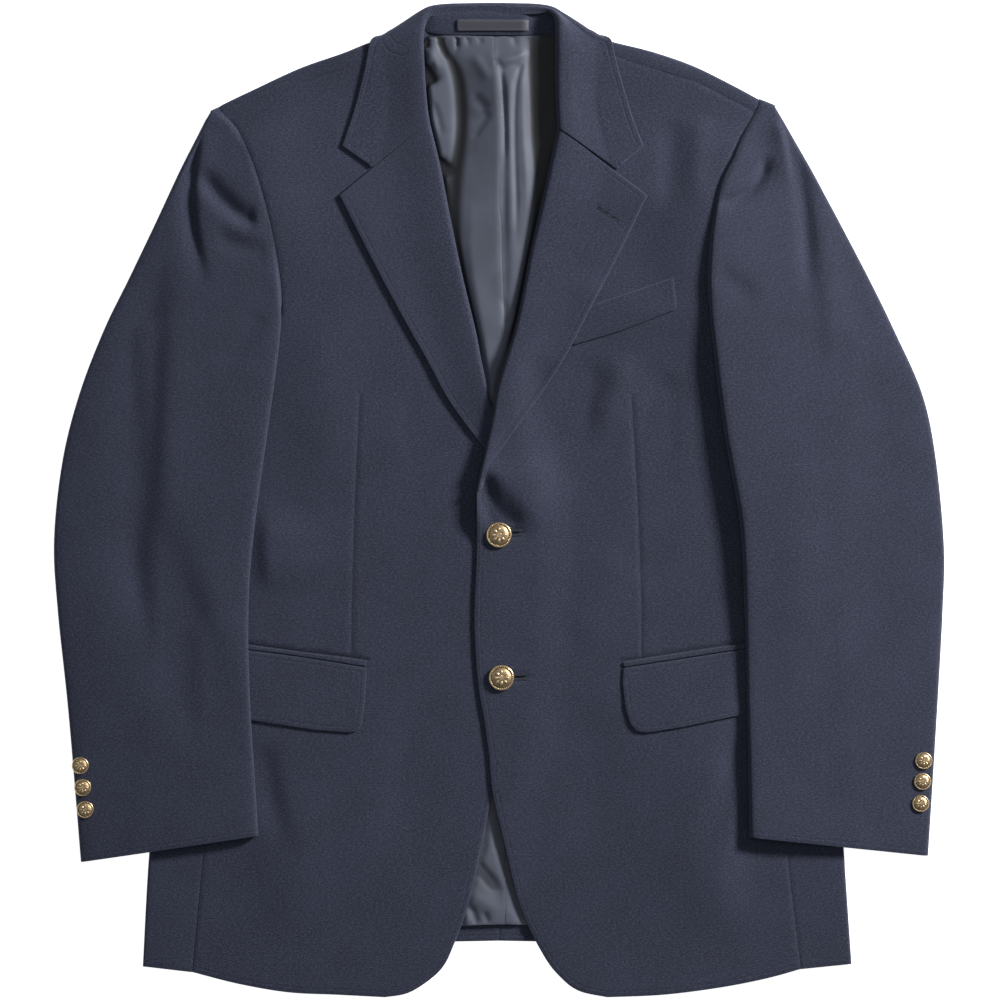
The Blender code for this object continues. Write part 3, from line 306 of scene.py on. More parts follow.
FRONT_SEWN = (20, 240)  # the fronts' edge stitches show below this y and nearer the middle than this x
FLAP_SEWN = (226, -165)  # a flap's stitches show nearer the middle than this x and below this y
FLAP_SEWN_INSET = 0.8  # their distance from the flap's edge, as a share of the other edges'
LAPEL_SEWN = slice(8, -2)  # the rows of a lapel whose edge stitches show
THREAD_SINK = 0.05  # how far the front buttonholes' thread sinks into the cloth
THREAD_LIFT = 0.02  # how far the lapel buttonhole's thread stands up from it

# A buttonhole's stitches: how far off its slit they are, and their pitch, length and width in metres.
HoleStitch = namedtuple("HoleStitch", "off pitch length width")
FRONT_HOLE = HoleStitch(1.8, 0.0006, 0.0026, 0.00058)
LAPEL_HOLE = HoleStitch(0.95, 0.00055, 0.0014, 0.00042)

Point = namedtuple("Point", "x y")


def points(*pairs):
    return [Point(x, y) for x, y in pairs]


# The fronts' outlines, from the neck down the front edge, round the hem and up the side.
ROLL = {
    "right": points((13, 26), (2, 58), (-7, 83), (-19, 138), (-30, 184), (-40, 232), (-48, 273),
                    (-57, 311), (-60, 341), (-61, 366)),
    "left": points((-15, 22), (-10, 46), (-2, 90), (15, 148), (25, 200), (39, 263), (48, 305),
                   (46, 341), (46, 366)),
}
FRONT_EDGE = {
    "right": points((16, 8), (16, -33), (16, -99), (12, -148), (5, -189), (-6, -242), (-14, -279),
                    (-25, -330), (-37, -364), (-46, -383), (-60, -396), (-76, -405), (-94, -408)),
    "left": points((-18, 6), (-18, -41), (-20, -100), (-17, -150), (-12, -181), (-8, -210), (-5, -241),
                   (5, -284), (18, -335), (37, -374), (51, -392), (66, -403), (89, -408)),
}
FRONT_HEM = {
    "right": points((-94, -408), (-133, -406), (-173, -404), (-214, -397), (-251, -387.5)),
    "left": points((89, -408), (135, -406), (182, -400), (220, -392.5), (247, -385)),
}
# The body's plan beside a sleeve, from its side fold round the armhole.
BODY_ARMHOLE = points((281, 126), (262, 132), (247, 140), (232, 120), (218, 106), (203, 112), (188, 124),
                      (182, 139), (172, 158), (170, 330))
BODY_MIDDLE = ((100, 330), (100, -400))  # closes that plan towards the coat's middle
ARMHOLE_LOW = points((225, 106), (203, 112), (188, 124), (182, 139))
SHOULDER_LINE = {
    "right": points((-66, 383), (-101, 374), (-127, 364), (-162, 352), (-200, 334.4), (-216, 326.8),
                    (-225, 322.4), (-230.5, 319.4)),
    "left": points((62, 383), (89, 374), (125, 365), (160, 353), (195, 335.6), (206, 329.6), (214.5, 325.2)),
}
CENTRE_TOP = 366
CENTRE_GAP = 0.15  # from the centre line to either half of the back
BACK_NECK = ((CENTRE_GAP, 380), (36, 380.5), (58, 382.5))
BACK_HEM = ((253, -380), (163, -369), (81, -364), (CENTRE_GAP, -362))
BACK_HEM_SHOWS = (60, -372, -330, 4)  # the back shows as far out as this, between two y, with this step
SHOULDER_FROM = 250  # the back bends over only above this y
LINING_NECK = ((58, 379.5), (36, 380))
LINING_SHOULDER = ((197, 314), (158, 332), (123, 345), (97, 354), (71, 362))
LINING_HEM = ((81, -351), (163, -356), (240, -364))
LINING_CENTRE = (128, -349, -4)  # the y of the straight part of its centre seam: from, to and step
LINING_HALF_GAP = 0.12  # from the lining's centre seam to either half
LINING_SIDE_GAP = 9  # from the back's side seam to the lining's edge
LINING_ARMHOLE_GAP = 6
BACK_ARMHOLE = points((245, 146), (226, 184), (212, 233), (207, 270), (213, 299), (222, 314))

# The side panels, which turn round the body's folds, from the armhole to the hem.
SideRow = namedtuple("SideRow", "back_x back_y fold_x fold_y front_x front_y")
SIDES = {
    "right": table(SideRow,
        (247, 141, 280, 124, 225, 106), (240, 104, 277, 84, 221, 66), (233, 40, 273.5, 28, 219, 16),
        (229, -50, 270, -60, 219, -70), (232, -110, 271.5, -115, 223, -125),
        (239, -164, 276, -172, 230, -181), (245, -232, 282, -235, 236, -238),
        (249, -300, 288, -300, 243, -300), (253, -380, 292.5, -383, 251.3, -387.5)),
    "left": table(SideRow,
        (247, 141, 278, 124, 225, 106), (240, 104, 276, 84, 221, 66), (233, 40, 273, 28, 219, 16),
        (229, -50, 270, -60, 219, -70), (232, -110, 271, -115, 221, -125),
        (239, -164, 275.5, -172, 226, -181), (245, -232, 280, -235, 231, -238),
        (249, -300, 284, -300, 237, -300), (253, -380, 289.5, -381, 247.3, -385)),
}

# The lapels, from the break up to the gorge: the roll line, the outer edge and the roll's radius.
LapelRow = namedtuple("LapelRow", "roll_x roll_y edge_x edge_y radius")
LAPELS = {
    "right": table(LapelRow,
        (13, 26, 7, 23, 1.2), (8, 42, -12, 43, 1.4), (1, 61, -27, 62, 1.8), (-7, 83, -43, 85, 2.2),
        (-14, 112, -59, 115, 2.6), (-19, 138, -75, 143, 2.8), (-30, 184, -95, 180, 2.9),
        (-40, 232, -112, 213, 2.9), (-48, 273, -122, 233, 2.8), (-57, 310.3, -130, 249, 2.7)),
    "left": table(LapelRow,
        (-18.4, 5, -14.4, 9.5, 1.0), (-17, 13, -11.5, 18, 1.1), (-15, 22, -8, 27.5, 1.3),
        (-12, 36, 0, 39, 1.5), (-10, 46, 6, 48, 1.7), (-6, 66, 19, 66, 2.1), (-2, 90, 37, 91, 2.4),
        (7, 120, 56, 121, 2.6), (15, 148, 72, 152, 2.7), (25, 200, 95, 196, 3.0), (34, 240, 108, 222, 3.4),
        (41, 272, 115, 237, 3.7), (48, 304.3, 121, 249, 4.0)),
}
LAPEL_TUCK = 3.7  # how far a lapel runs in under its roll, where it meets the front's edge
COLLAR_TUCK = 3.6  # the same for the collar
LAPEL_DROP = (46, 0.8)  # over what run a lapel comes down from its roll, at most, and of a narrow one's width
LAPEL_EDGE_LIFT = 0.6  # how far a lapel's outer edge springs up from the front

# The collar, from the right gorge round the back neck to the left one: the roll line, the far end of the
# run on top, the outer edge, the heights of the run at the roll and at its far end (0 where it lies on
# the front), how far the roll turns down to the front's edge, and how far the edge has turned under.
CollarRow = namedtuple("CollarRow", "roll_x roll_y far_x far_y edge_x edge_y crest lay turn under")
COLLAR = table(CollarRow,
    (-57, 311, -104, 273, -128, 290, 8.0, 0, 1, 0), (-58.4, 320, -100, 289, -124.5, 300, 8.0, 0, 1, 0),
    (-59.5, 332, -95, 313, -119, 317, 8.2, 0, 1, 0), (-60.4, 345, -95, 336, -114, 335, 8.8, 0, 1, 0),
    (-61, 357, -99, 353.5, -110, 351, 9.6, 0, 1, 0), (-61.4, 366, -101.5, 367, -107, 366, 10.1, 0, 1, 0),
    (-61.7, 371, -98, 375.5, -104, 377, 10.1, 8.8, 0.95, 0),
    (-61.9, 375, -96.5, 380.4, -101, 381.4, 10.1, 8.8, 0.9, 0.5),
    (-62, 379, -91.5, 383.5, -93, 379, 10.0, 8.8, 0.8, 1), (-62, 384, -87, 386, -88, 371, 9.6, 8.6, 0.6, 1),
    (-61.5, 391, -77, 392.5, -77, 367, 9.0, 8.2, 0.35, 1),
    (-60, 397, -67, 399.5, -65, 365, 8.2, 7.6, 0.15, 1), (-55, 400.5, -57, 405, -54, 363, 7.2, 7.0, 0, 1),
    (-43, 402, -43, 407, -42, 361.5, 6.6, 6.6, 0, 1), (-25, 402.5, -25, 407.5, -24, 360.5, 6.4, 6.4, 0, 1),
    (-6, 402.5, -6, 407.8, -6, 360, 6.4, 6.4, 0, 1), (13, 402.5, 13, 407.5, 13, 360.5, 6.4, 6.4, 0, 1),
    (30, 402, 30, 407, 30, 361.5, 6.6, 6.6, 0.1, 1), (40, 400.5, 44, 404.5, 42, 363, 7.4, 7.0, 0.4, 1),
    (44, 397, 54, 398.5, 52, 365, 8.4, 7.6, 0.75, 1), (46, 391, 65, 391.5, 64, 367, 9.0, 8.2, 0.92, 1),
    (46, 384, 74, 385.5, 75, 371, 9.6, 8.6, 0.95, 1), (46, 379, 79, 383, 80, 379, 10.0, 8.8, 0.96, 1),
    (46, 375, 83, 380.6, 87.5, 381.6, 10.1, 8.8, 0.95, 0.5),
    (46, 371, 85, 375.5, 91, 377, 10.1, 8.8, 0.97, 0), (46, 366, 88.5, 367, 94, 366, 10.1, 0, 1, 0),
    (46, 356, 87, 352.5, 98, 350, 9.6, 0, 1, 0), (46, 344, 84, 334, 103, 333, 8.8, 0, 1, 0),
    (46.3, 331, 85, 313, 108, 316, 8.2, 0, 1, 0), (47, 318, 90.5, 291, 113.5, 301, 8.0, 0, 1, 0),
    (48, 305, 96, 271.5, 118, 290, 8.0, 0, 1, 0))

# How much fuller the collar rolls beside the neck, and from which y down and over what length it gets so.
RollLift = namedtuple("RollLift", "height start reach")
ROLL_LIFT = {"right": RollLift(1.6, 402, 22), "left": RollLift(5.0, 405, 11)}
LEAST_ROLL = 1.3  # the least radius of the collar's roll
FLAT_START, FLAT_STEP, FLAT_STOP = -4.5, 1.14, 1.2  # the collar's points where it lies flat on the stand
COLLAR_SEWN = (60, 44)  # rows from either end and columns from the roll on, whose edges are sewn in sight
HANGING = 2.4  # how far the edge hangs down where it is half turned under
STAND_TUCK = 0.6  # how far the collar's roll dips under the stand, which it is cut in one with

STAND_BOTTOM = points((-62, 385), (-55, 382.6), (-40, 381.4), (-6, 381), (26, 381.4), (40, 382.6),
                      (47, 385))
STAND_TOP = points((47.5, 393), (45, 397.5), (38, 400.5), (29, 401.6), (13, 402), (-25, 402), (-43, 401.6),
                   (-53, 400), (-60, 397), (-62.5, 393))
LABEL = points((-34, 384.5), (-34, 393), (24, 393), (24, 384.5))

FLAPS = {
    "right": points((-112, -137.3), (-162, -129.3), (-236, -119.8), (-236, -176), (-203, -181), (-150, -189),
                    (-121, -191), (-115, -189), (-112.5, -184), (-110, -165), (-108.5, -137.8)),
    "left": points((102, -138.3), (192, -124.3), (236, -117.8), (236, -169), (196, -177), (150, -186.5),
                   (122, -191), (113, -190), (107.5, -184), (103.5, -170), (101.3, -150)),
}
JETS = {
    "right": points((-108, -132), (-128, -129), (-162, -125), (-236, -114.8), (-236, -119.4), (-162, -128.9),
                    (-112, -136.9), (-108.3, -137.4)),
    "left": points((101, -133), (192, -119), (236, -112.2), (236, -117.4), (192, -123.9), (101.5, -137.9)),
}
JET_SLANT = 0.143  # the pockets' slant, in radians
FLAP_HANG = 0.4  # how far a flap's lower edge stands off the front
JET_UPPER = {"right": points((-236, -114.3), (-162, -124.5), (-128, -128.5), (-107.5, -131.5)),
             "left": points((236, -111.7), (192, -118.5), (100.5, -132.5))}
JET_LOWER = {"right": points((-236, -119.6), (-162, -129.1), (-112, -137.1)),
             "left": points((236, -117.6), (192, -124.1), (101.5, -138.1))}
WELT = points((56, 151), (77, 159.5), (143, 182), (145.5, 156), (101, 138.5), (60, 126.5))

FRONT_BUTTON, FRONT_BUTTON_HEIGHT = 21.0, 7.0
CUFF_BUTTON, CUFF_BUTTON_HEIGHT = 14.0, 5.0
CUFF_TOP_FROM = 2.6  # from a sleeve's outer fold to where its top is taken to start at a cuff button
BUTTON_REST = (-6.0, 0.0, 6.0)  # where across a cuff button the sleeve's height is measured
BUTTON_SINK = 0.1  # how far a shank sinks into the cloth, as a share of the button's width
FRONT_BUTTONS = points((0, -29), (2, -146))
CUFF_BUTTONS = {
    "right": points((-343, -218), (-341, -236), (-339, -254)),
    "left": points((348, -214), (347, -231), (345.5, -249)),
}

# Half a button's section, out from its middle: shares of the radius and the height, and its tarnish.
Ring = namedtuple("Ring", "radius height tarnish")
BUTTON_RINGS = table(Ring,
    (0.22, 0.0, 1), (0.22, 0.34, 1), (0.80, 0.34, 0.8), (0.93, 0.38, 0.5), (0.985, 0.44, 0.1), (1.0, 0.52, 0),
    (0.985, 0.60, 0), (0.945, 0.655, 0), (0.90, 0.66, 0.1), (0.86, 0.62, 0.8), (0.83, 0.60, 1),
    (0.79, 0.62, 0.9), (0.70, 0.70, 0.35), (0.58, 0.78, 0.5), (0.44, 0.84, 0.6), (0.30, 0.87, 0.7),
    (0.15, 0.89, 0.5))
BUTTON_CROWN = Ring(0, 0.9, 0.4)
BUTTON_SIDES = 48
BEAD_LEVEL, PETAL_LEVEL = 0.61, 0.83  # shares of the button's height


# What repeats: smooth steps, curves and distances, all on arrays of points.

def smooth(share):
    """0 to 1 with level ends."""
    share = np.clip(share, 0.0, 1.0)
    return share * share * (3 - 2 * share)


def fade(value, start, end):
    """0 up to the start and 1 from the end on, smooth between them; the start may be the larger."""
    return smooth((value - start) / (end - start))


def resampled(dense, step):
    """Points at about the given step along a line of points."""
    dense = np.asarray(dense, float)
    gaps = np.hypot(*np.diff(dense[:, :2], axis=0).T)
    at = np.concatenate([[0], np.cumsum(gaps)])
    want = np.linspace(0, at[-1], max(2, round(at[-1] / step)) + 1)
    return np.column_stack([np.interp(want, at, column) for column in dense.T])


def curve(line, step=None, dense=12):
    """A smooth curve through the line's points, at about the given step or dense to a span."""
    p = np.asarray(line, float)
    ends = np.concatenate([p[:1], p, p[-1:]])
    t = (np.arange(dense) / dense).reshape((-1,) + (1,) * (p.ndim - 1))
    spans = []
    for a, b, c, d in zip(ends, ends[1:], ends[2:], ends[3:]):
        spans.append(((-t + 2 * t * t - t ** 3) * a + (2 - 5 * t * t + 3 * t ** 3) * b
                      + (t + 4 * t * t - 3 * t ** 3) * c + (t ** 3 - t * t) * d) / 2)
    found = np.concatenate([*spans, p[-1:]])
    return found if step is None else resampled(found, step)


def refined(grid, down, across):
    """A grid of points with more rows and columns between its own, on smooth curves."""
    grid = curve(grid, dense=down)
    return curve(grid.swapaxes(0, 1), dense=across).swapaxes(0, 1)


def joined(*lines):
    """One closed outline from lines whose ends meet or nearly meet."""
    outline = []
    for line in lines:
        for p in line:
            if not outline or math.dist(outline[-1], p[:2]) > NEAR:
                outline.append((float(p[0]), float(p[1])))
    if math.dist(outline[0], outline[-1]) < NEAR:
        outline.pop()
    return np.array(outline)


def split(outline, step):
    """The closed outline, counter-clockwise, with no edge much longer than the step."""
    p = np.asarray(outline, float)
    q = np.roll(p, -1, 0)
    if (p[:, 0] * q[:, 1] - q[:, 0] * p[:, 1]).sum() < 0:
        p = p[::-1]
        q = np.roll(p, -1, 0)
    found = []
    for a, b in zip(p, q):
        count = max(1, round(math.dist(a, b) / step))
        found += [a + (b - a) * i / count for i in range(count)]
    return np.array(found)


def inset(outline, distance):
    """The counter-clockwise outline moved inwards."""
    ahead = np.roll(outline, -1, 0) - outline
    ahead /= np.hypot(*ahead.T)[:, None]
    behind = np.roll(ahead, 1, 0)
    normal = np.column_stack([-ahead[:, 1] - behind[:, 1], ahead[:, 0] + behind[:, 0]])
    normal /= np.hypot(*normal.T)[:, None]
    lean = normal[:, 1] * ahead[:, 0] - normal[:, 0] * ahead[:, 1]
    return outline + normal * (distance / np.maximum(lean, 0.6))[:, None]


def moved(line, away):
    """The line moved sideways, to its left when away is positive."""
    line = np.asarray(line, float)[:, :2]
    ahead = np.gradient(line, axis=0)
    ahead /= np.hypot(*ahead.T)[:, None]
    return line + np.column_stack([-ahead[:, 1], ahead[:, 0]]) * away


def mirrored(line, side):
    """A line given for the left side, for either side."""
    return [(p[0] * side.sign, p[1]) for p in line]


def x_at(line, y):
    """The line's x where it passes y, held level past its ends."""
    rows = sorted((p[1], p[0]) for p in line)
    return np.interp(y, [r[0] for r in rows], [r[1] for r in rows])


def closed(outline):
    """An outline's points with the first one again at the end."""
    return np.vstack([outline, outline[:1]])


def inside(x, y, outline):
    found = np.zeros(x.shape, bool)
    for (x0, y0), (x1, y1) in zip(outline, np.roll(outline, -1, 0)):
        if y0 != y1:
            found ^= ((y0 > y) != (y1 > y)) & (x < x0 + (x1 - x0) * (y - y0) / (y1 - y0))
    return found


def along(x, y, line):
    """How far points are from a line, on which side (positive to its left) and at what share of it."""
    x, y = np.asarray(x, float), np.asarray(y, float)
    best, side, share = np.full(x.shape, 1e9), np.zeros(x.shape), np.zeros(x.shape)
    done = 0.0
    for a, b in zip(line, line[1:]):
        dx, dy = b[0] - a[0], b[1] - a[1]
        length = math.hypot(dx, dy) or 1e-9
        t = np.clip(((x - a[0]) * dx + (y - a[1]) * dy) / length ** 2, 0, 1)
        off_x, off_y = x - a[0] - t * dx, y - a[1] - t * dy
        gap = np.hypot(off_x, off_y)
        near = gap < best
        best = np.where(near, gap, best)
        side = np.where(near, np.sign(dx * off_y - dy * off_x), side)
        share = np.where(near, done + t * length, share)
        done += length
    return best, side, share / done


def gap_to(x, y, line):
    return along(x, y, line)[0]


def relief(x, y, folds, strength=1.0):
    """The heights that folds give the cloth."""
    total = np.zeros(np.shape(x))
    for fold in folds:
        gap, side, share = along(x, y, curve(fold.line, 8))
        width = np.where(side > 0, fold.left, fold.right)
        ends = smooth(share / fold.fade_in) * smooth((1 - share) / fold.fade_out)
        total += fold.height * np.exp(-(gap / width) ** 2) * ends
    return total * strength


# Heights of the layers over the surface, in millimetres. Most fade in or out between places in plan.

def neck_rise(x, y):
    """The body's rise over the part of the collar that lies beneath the back neck."""
    beneath = 358 + 11 * (x / 100) ** 2
    return NECK_RISE * fade(y - beneath, -48, -4) * fade(abs(x), 176, 114)


def chest(x, y):
    """The fullness of the fronts over the chest and below the waist."""
    across = fade(abs(x), 236, 176) * fade(abs(x), 8, 128)
    upper = CHEST * fade(y, 318, 228) * fade(y, 0, 190)
    lower = SKIRT * fade(y, -392, -272) * fade(y, -60, -220)
    return across * (upper + lower)


def lining_planes(x, y):
    """The lining's planes with softly rounded creases between them."""
    rows = curve(LINING_ROWS, dense=6)[::-1]
    creases = [np.interp(y, rows[:, 0], column) for column in rows.T[1:]]
    found = 0
    for off in CREASE_ROUNDING:
        at = x + off
        height = np.where(at < creases[0], creases[1], creases[-1])
        for x0, z0, x1, z1 in zip(creases[0::2], creases[1::2], creases[2::2], creases[3::2]):
            share = (at - x0) / np.maximum(x1 - x0, 0.1)
            height = np.where((share >= 0) & (share < 1), z0 + (z1 - z0) * share, height)
        found = found + height / len(CREASE_ROUNDING)
    return found


def lining_fullness(x, y):
    """The lining is loose between the fronts and lies close under them."""
    right = x_at(FRONT_EDGE["right"][::-1] + ROLL["right"][1:], y)
    left = x_at(FRONT_EDGE["left"][::-1] + ROLL["left"][1:], y)
    hem = HEM_LINING_LIFT * fade(x - right, -1.5, 5.5) * fade(left - x, 4, 13)
    upper = lining_planes(x, y) * fade(x - right, -0.6, 3.8) * fade(left - x, 0, 4)
    folds = relief(x, y, LINING_FOLDS) * fade(x - right, -7, 1) * fade(left - x, -7, 1)
    return np.maximum(np.where(y > -100, upper, hem) + folds, 0)


def lining_level(x, y):
    return neck_rise(x, y) + LINING_LEVEL + lining_fullness(x, y)


def front_fullness(side, x, y):
    return np.maximum(chest(x, y) + relief(x, y, FRONT_FOLDS[side.name]) * flatness(x, y), -CLEAR)


def right_front_level(x, y):
    return neck_rise(x, y) + FRONT_LEVEL + front_fullness(RIGHT, x, y)


def left_front_level(x, y):
    """The left front rises over the right one, and further over the right lapel."""
    over_front = fade(x_at(FRONT_EDGE["right"] + ROLL["right"][1:], y) - x, -48, -12)
    over_lapel = fade(y, -34, 6) * fade(x_at(ROLL["right"], y) - x, -40, -6)
    level = neck_rise(x, y) + FRONT_LEVEL + front_fullness(LEFT, x, y)
    return level + FRONT_LAP * over_front + LAPEL_LAP * over_lapel


def flatness(x, y):
    """1 where the fronts are free to wave, 0 at their side seams below the armholes."""
    return np.maximum(fade(abs(x), 222, 192), fade(y, 130, 160))


FRONT_LEVELS = {"right": right_front_level, "left": left_front_level}


def on_front(side, x, y):
    """Where a piece that lies on a front has its underside."""
    return FRONT_LEVELS[side.name](x, y) + FRONT_WALL + CLEAR


def lapel_level(side, x, y):
    over_welt = WELT_RISE * fade(np.hypot(x - 57, y - 143), 52, 26) if side is LEFT else 0
    return on_front(side, x, y) + LAPEL_CLEAR + over_welt


def stand_level(x, y):
    """The stand leans up to the collar's roll and dips under it at its top and its ends."""
    leaning = 3.3 + 2.1 * fade(y, 379, 396)
    ends = fade(x, -52, -62) + 2 * fade(x, 19, 29)
    return leaning - 0.7 * fade(y, 399.4, 402) - 1.5 * ends


def body_outline(side):
    """The body's plan on one side, as a sleeve meets it."""
    fold = curve([(r.fold_x, r.fold_y) for r in SIDES[side.name]], 20)
    return joined(BODY_MIDDLE, fold[::-1], BODY_ARMHOLE)


def sleeve_support(side):
    """The height that a sleeve's underside rests at: on the surface, the body or a pocket flap."""
    outline = body_outline(side)

    def level(x, y):
        plan = abs(np.asarray(x, float))
        away = gap_to(plan, y, closed(outline)) * np.where(inside(plan, y, outline), -1, 1)
        on_body = 1 - fade(away, 8, 36)
        flap_x = np.maximum(0, plan - 237)
        flap_y = np.maximum(np.maximum(0, -190 - y), y + 112)
        over_flap = FLAP_RISE * (1 - fade(np.hypot(flap_x, flap_y), 3, 23))
        head = fade(y, 170, 220)
        return ((ON_FRONT + chest(x, y)) * (1 - head) + HEAD_REST * head + over_flap) * on_body

    return level


def sleeve_top(side):
    """The height of a top sleeve's outer face at a point, from its share of the way across."""
    support = sleeve_support(side)
    folds = SLEEVE_FOLDS[side.name]
    sizes = bpy.context.scene.coat_sizes
    lofts = SLEEVE_LOFT[side.name]

    def level(x, y, share, width):
        share = np.clip(share, 0, 1)
        crown = np.sin(np.pi * share) ** 0.5
        inner = np.interp(y, *zip(*lofts.inner))
        full = lofts.crown * (1 - CROWN_LOSS * fade(y, 190, 250))
        rise = (inner - lofts.outer) * share ** lofts.bow + full * crown
        height = lofts.outer + rise * fade(width, 0, 90) * sizes.loft
        height += relief(x, y, folds, sizes.folds) * np.minimum(1, crown * 1.3)
        least = support(x, y) + LEAST_LOFT
        return 2 * SLEEVE_WALL + (least + height + np.sqrt((height - least) ** 2 + LOFT_BLEND)) / 2

    return level


# Meshes.

def mesh_piece(name, places, faces, cloth_uv, edge, seam, material):
    """A smooth closed mesh with its cloth's own coordinates, in metres, and its distances from edges."""
    mesh = bpy.data.meshes.new(name)
    mesh.from_pydata((np.asarray(places) * MM).tolist(), [], faces)
    mesh.calc_loop_triangles()
    corners = np.empty(len(mesh.loop_triangles) * 3, int)
    mesh.loop_triangles.foreach_get("vertices", corners)
    a, b, c = np.asarray(places)[corners.reshape(-1, 3)].swapaxes(0, 1)
    if np.einsum("ij,ij->i", a, np.cross(b, c)).sum() < 0:
        mesh.flip_normals()
    mesh.polygons.foreach_set("use_smooth", np.ones(len(mesh.polygons), bool))
    loops = np.empty(len(mesh.loops), int)
    mesh.loops.foreach_get("vertex_index", loops)
    layer = mesh.uv_layers.new(name="cloth")
    layer.data.foreach_set("uv", (np.asarray(cloth_uv)[loops] * MM).astype(np.float32).ravel())
    # the seam values say how much shade is painted on, in pressed lines and in hollows
    for label, values in (("edge", edge), ("seam", seam)):
        found = mesh.attributes.new(label, "FLOAT", "POINT")
        found.data.foreach_set("value", np.asarray(values, np.float32))
    mesh.materials.append(material)
    return linked(name, mesh)


RIM_ANGLES = [math.radians(a) for a in (60, 30, 0, -30, -60)]


def wall_faces(faces, count, rim):
    """A closed wall's faces: its top's, the same on its underside, and those between loops round its rim."""
    rim = [int(i) for i in rim]
    size = len(rim)
    firsts = [2 * count + k * size for k in range(len(RIM_ANGLES))]
    loops = [rim, *(range(first, first + size) for first in firsts), [count + i for i in rim]]
    found = [tuple(f) for f in faces] + [tuple(count + i for i in reversed(f)) for f in faces]
    for high, low in zip(loops, loops[1:]):
        found += [(high[(i + 1) % size], high[i], low[i], low[(i + 1) % size]) for i in range(size)]
    return found


def spaced(box, step, fine):
    """Staggered points over the box, at their own step inside each of the fine boxes."""
    found = []
    for area, pitch in [(box, step)] + [(f[:4], f[4]) for f in fine]:
        rows = np.arange(area[1] + pitch / 2, area[3], pitch * ROW_PITCH)
        for i, y in enumerate(rows):
            x = np.arange(area[0] + pitch * (0.25 + 0.5 * (i % 2)), area[2], pitch)
            if area is box:
                for f in fine:
                    if f[1] <= y <= f[3]:
                        x = x[(x < f[0]) | (x > f[2])]
            found.append(np.column_stack([x, np.full(len(x), y), np.full(len(x), pitch)]))
    return np.vstack(found)


def panel(name, outline, low, thickness, step, material, bend=None, guides=(), fine=(), sewn=(),
          pressed=(), grain=0.0, lap=SEAM_LAP, painted_shade=None):
    """A piece in plan, with a rounded rim: its outline, the height of its underside and its thickness.

    Points follow the guides and the pressed lines. A pressed line is a line, its half width and its depth.
    """
    outline = split(outline, step)
    radius = thickness / 2
    ring = inset(outline, EDGE_BULGE * radius - lap)
    corners = [Vector(p) for p in ring]
    edges = [(i, (i + 1) % len(corners)) for i in range(len(corners))]
    lines = list(guides)
    for line, width, _ in pressed:
        lines += [moved(line, share * width) for share in PRESS_SHARES]
    for line in lines:
        first = len(corners)
        corners += [Vector(p[:2]) for p in line]
        edges += [(first + i, first + i + 1) for i in range(len(line) - 1)]
    box = (*outline.min(0), *outline.max(0))
    spots = spaced(box, step, fine)
    keep = inside(spots[:, 0], spots[:, 1], outline)
    spots = spots[keep]
    room = gap_to(spots[:, 0], spots[:, 1], closed(ring))
    for line in lines:
        room = np.minimum(room, gap_to(spots[:, 0], spots[:, 1], line))
    corners += [Vector(p[:2]) for p in spots[room > spots[:, 2] * LEAST_ROOM]]
    flat, _, faces, source = delaunay_2d_cdt(corners, edges, [], 1, 1e-5)[:4]
    flat = np.array([tuple(p) for p in flat])
    place_of = {given: found for found, group in enumerate(source) for given in group}
    rim = [place_of[i] for i in range(len(ring))]
    bend = bend or (lambda x, y, height: (x, y, height))

    def placed(plan, height):
        x, y = plan[:, 0], plan[:, 1]
        dent = sum(-depth * smooth(1 - gap_to(x, y, line) / width) for line, width, depth in pressed)
        fx, fy, fz = bend(x, y, np.full(len(x), float(height)))
        return np.column_stack([fx, fy, fz + low(x, y) + dent * (height / thickness)])

    plans, heights = [flat, flat], [thickness, 0.0]
    for angle in RIM_ANGLES:
        plans.append(inset(outline, EDGE_BULGE * radius * (1 - math.cos(angle)) - lap))
        heights.append(radius * (1 + math.sin(angle)))
    places = np.vstack([placed(p, h) for p, h in zip(plans, heights)])
    plan = np.vstack(plans)
    turn = np.array([[math.cos(grain), -math.sin(grain)], [math.sin(grain), math.cos(grain)]])
    x, y = plan.T
    edge = np.full(len(plan), FAR)
    for line in sewn:
        edge = np.minimum(edge, gap_to(x, y, line))
    # How much shade is painted on: from the mask of painted shade, if any, and along the pressed lines.
    seam = painted_shade(x, y) if painted_shade else np.zeros(len(plan))
    for line, width, _ in pressed:
        seam = np.maximum(seam, smooth(1 - gap_to(x, y, line) / width))
    return mesh_piece(name, places, wall_faces(faces, len(flat), rim), plan @ turn.T, edge, seam, material)


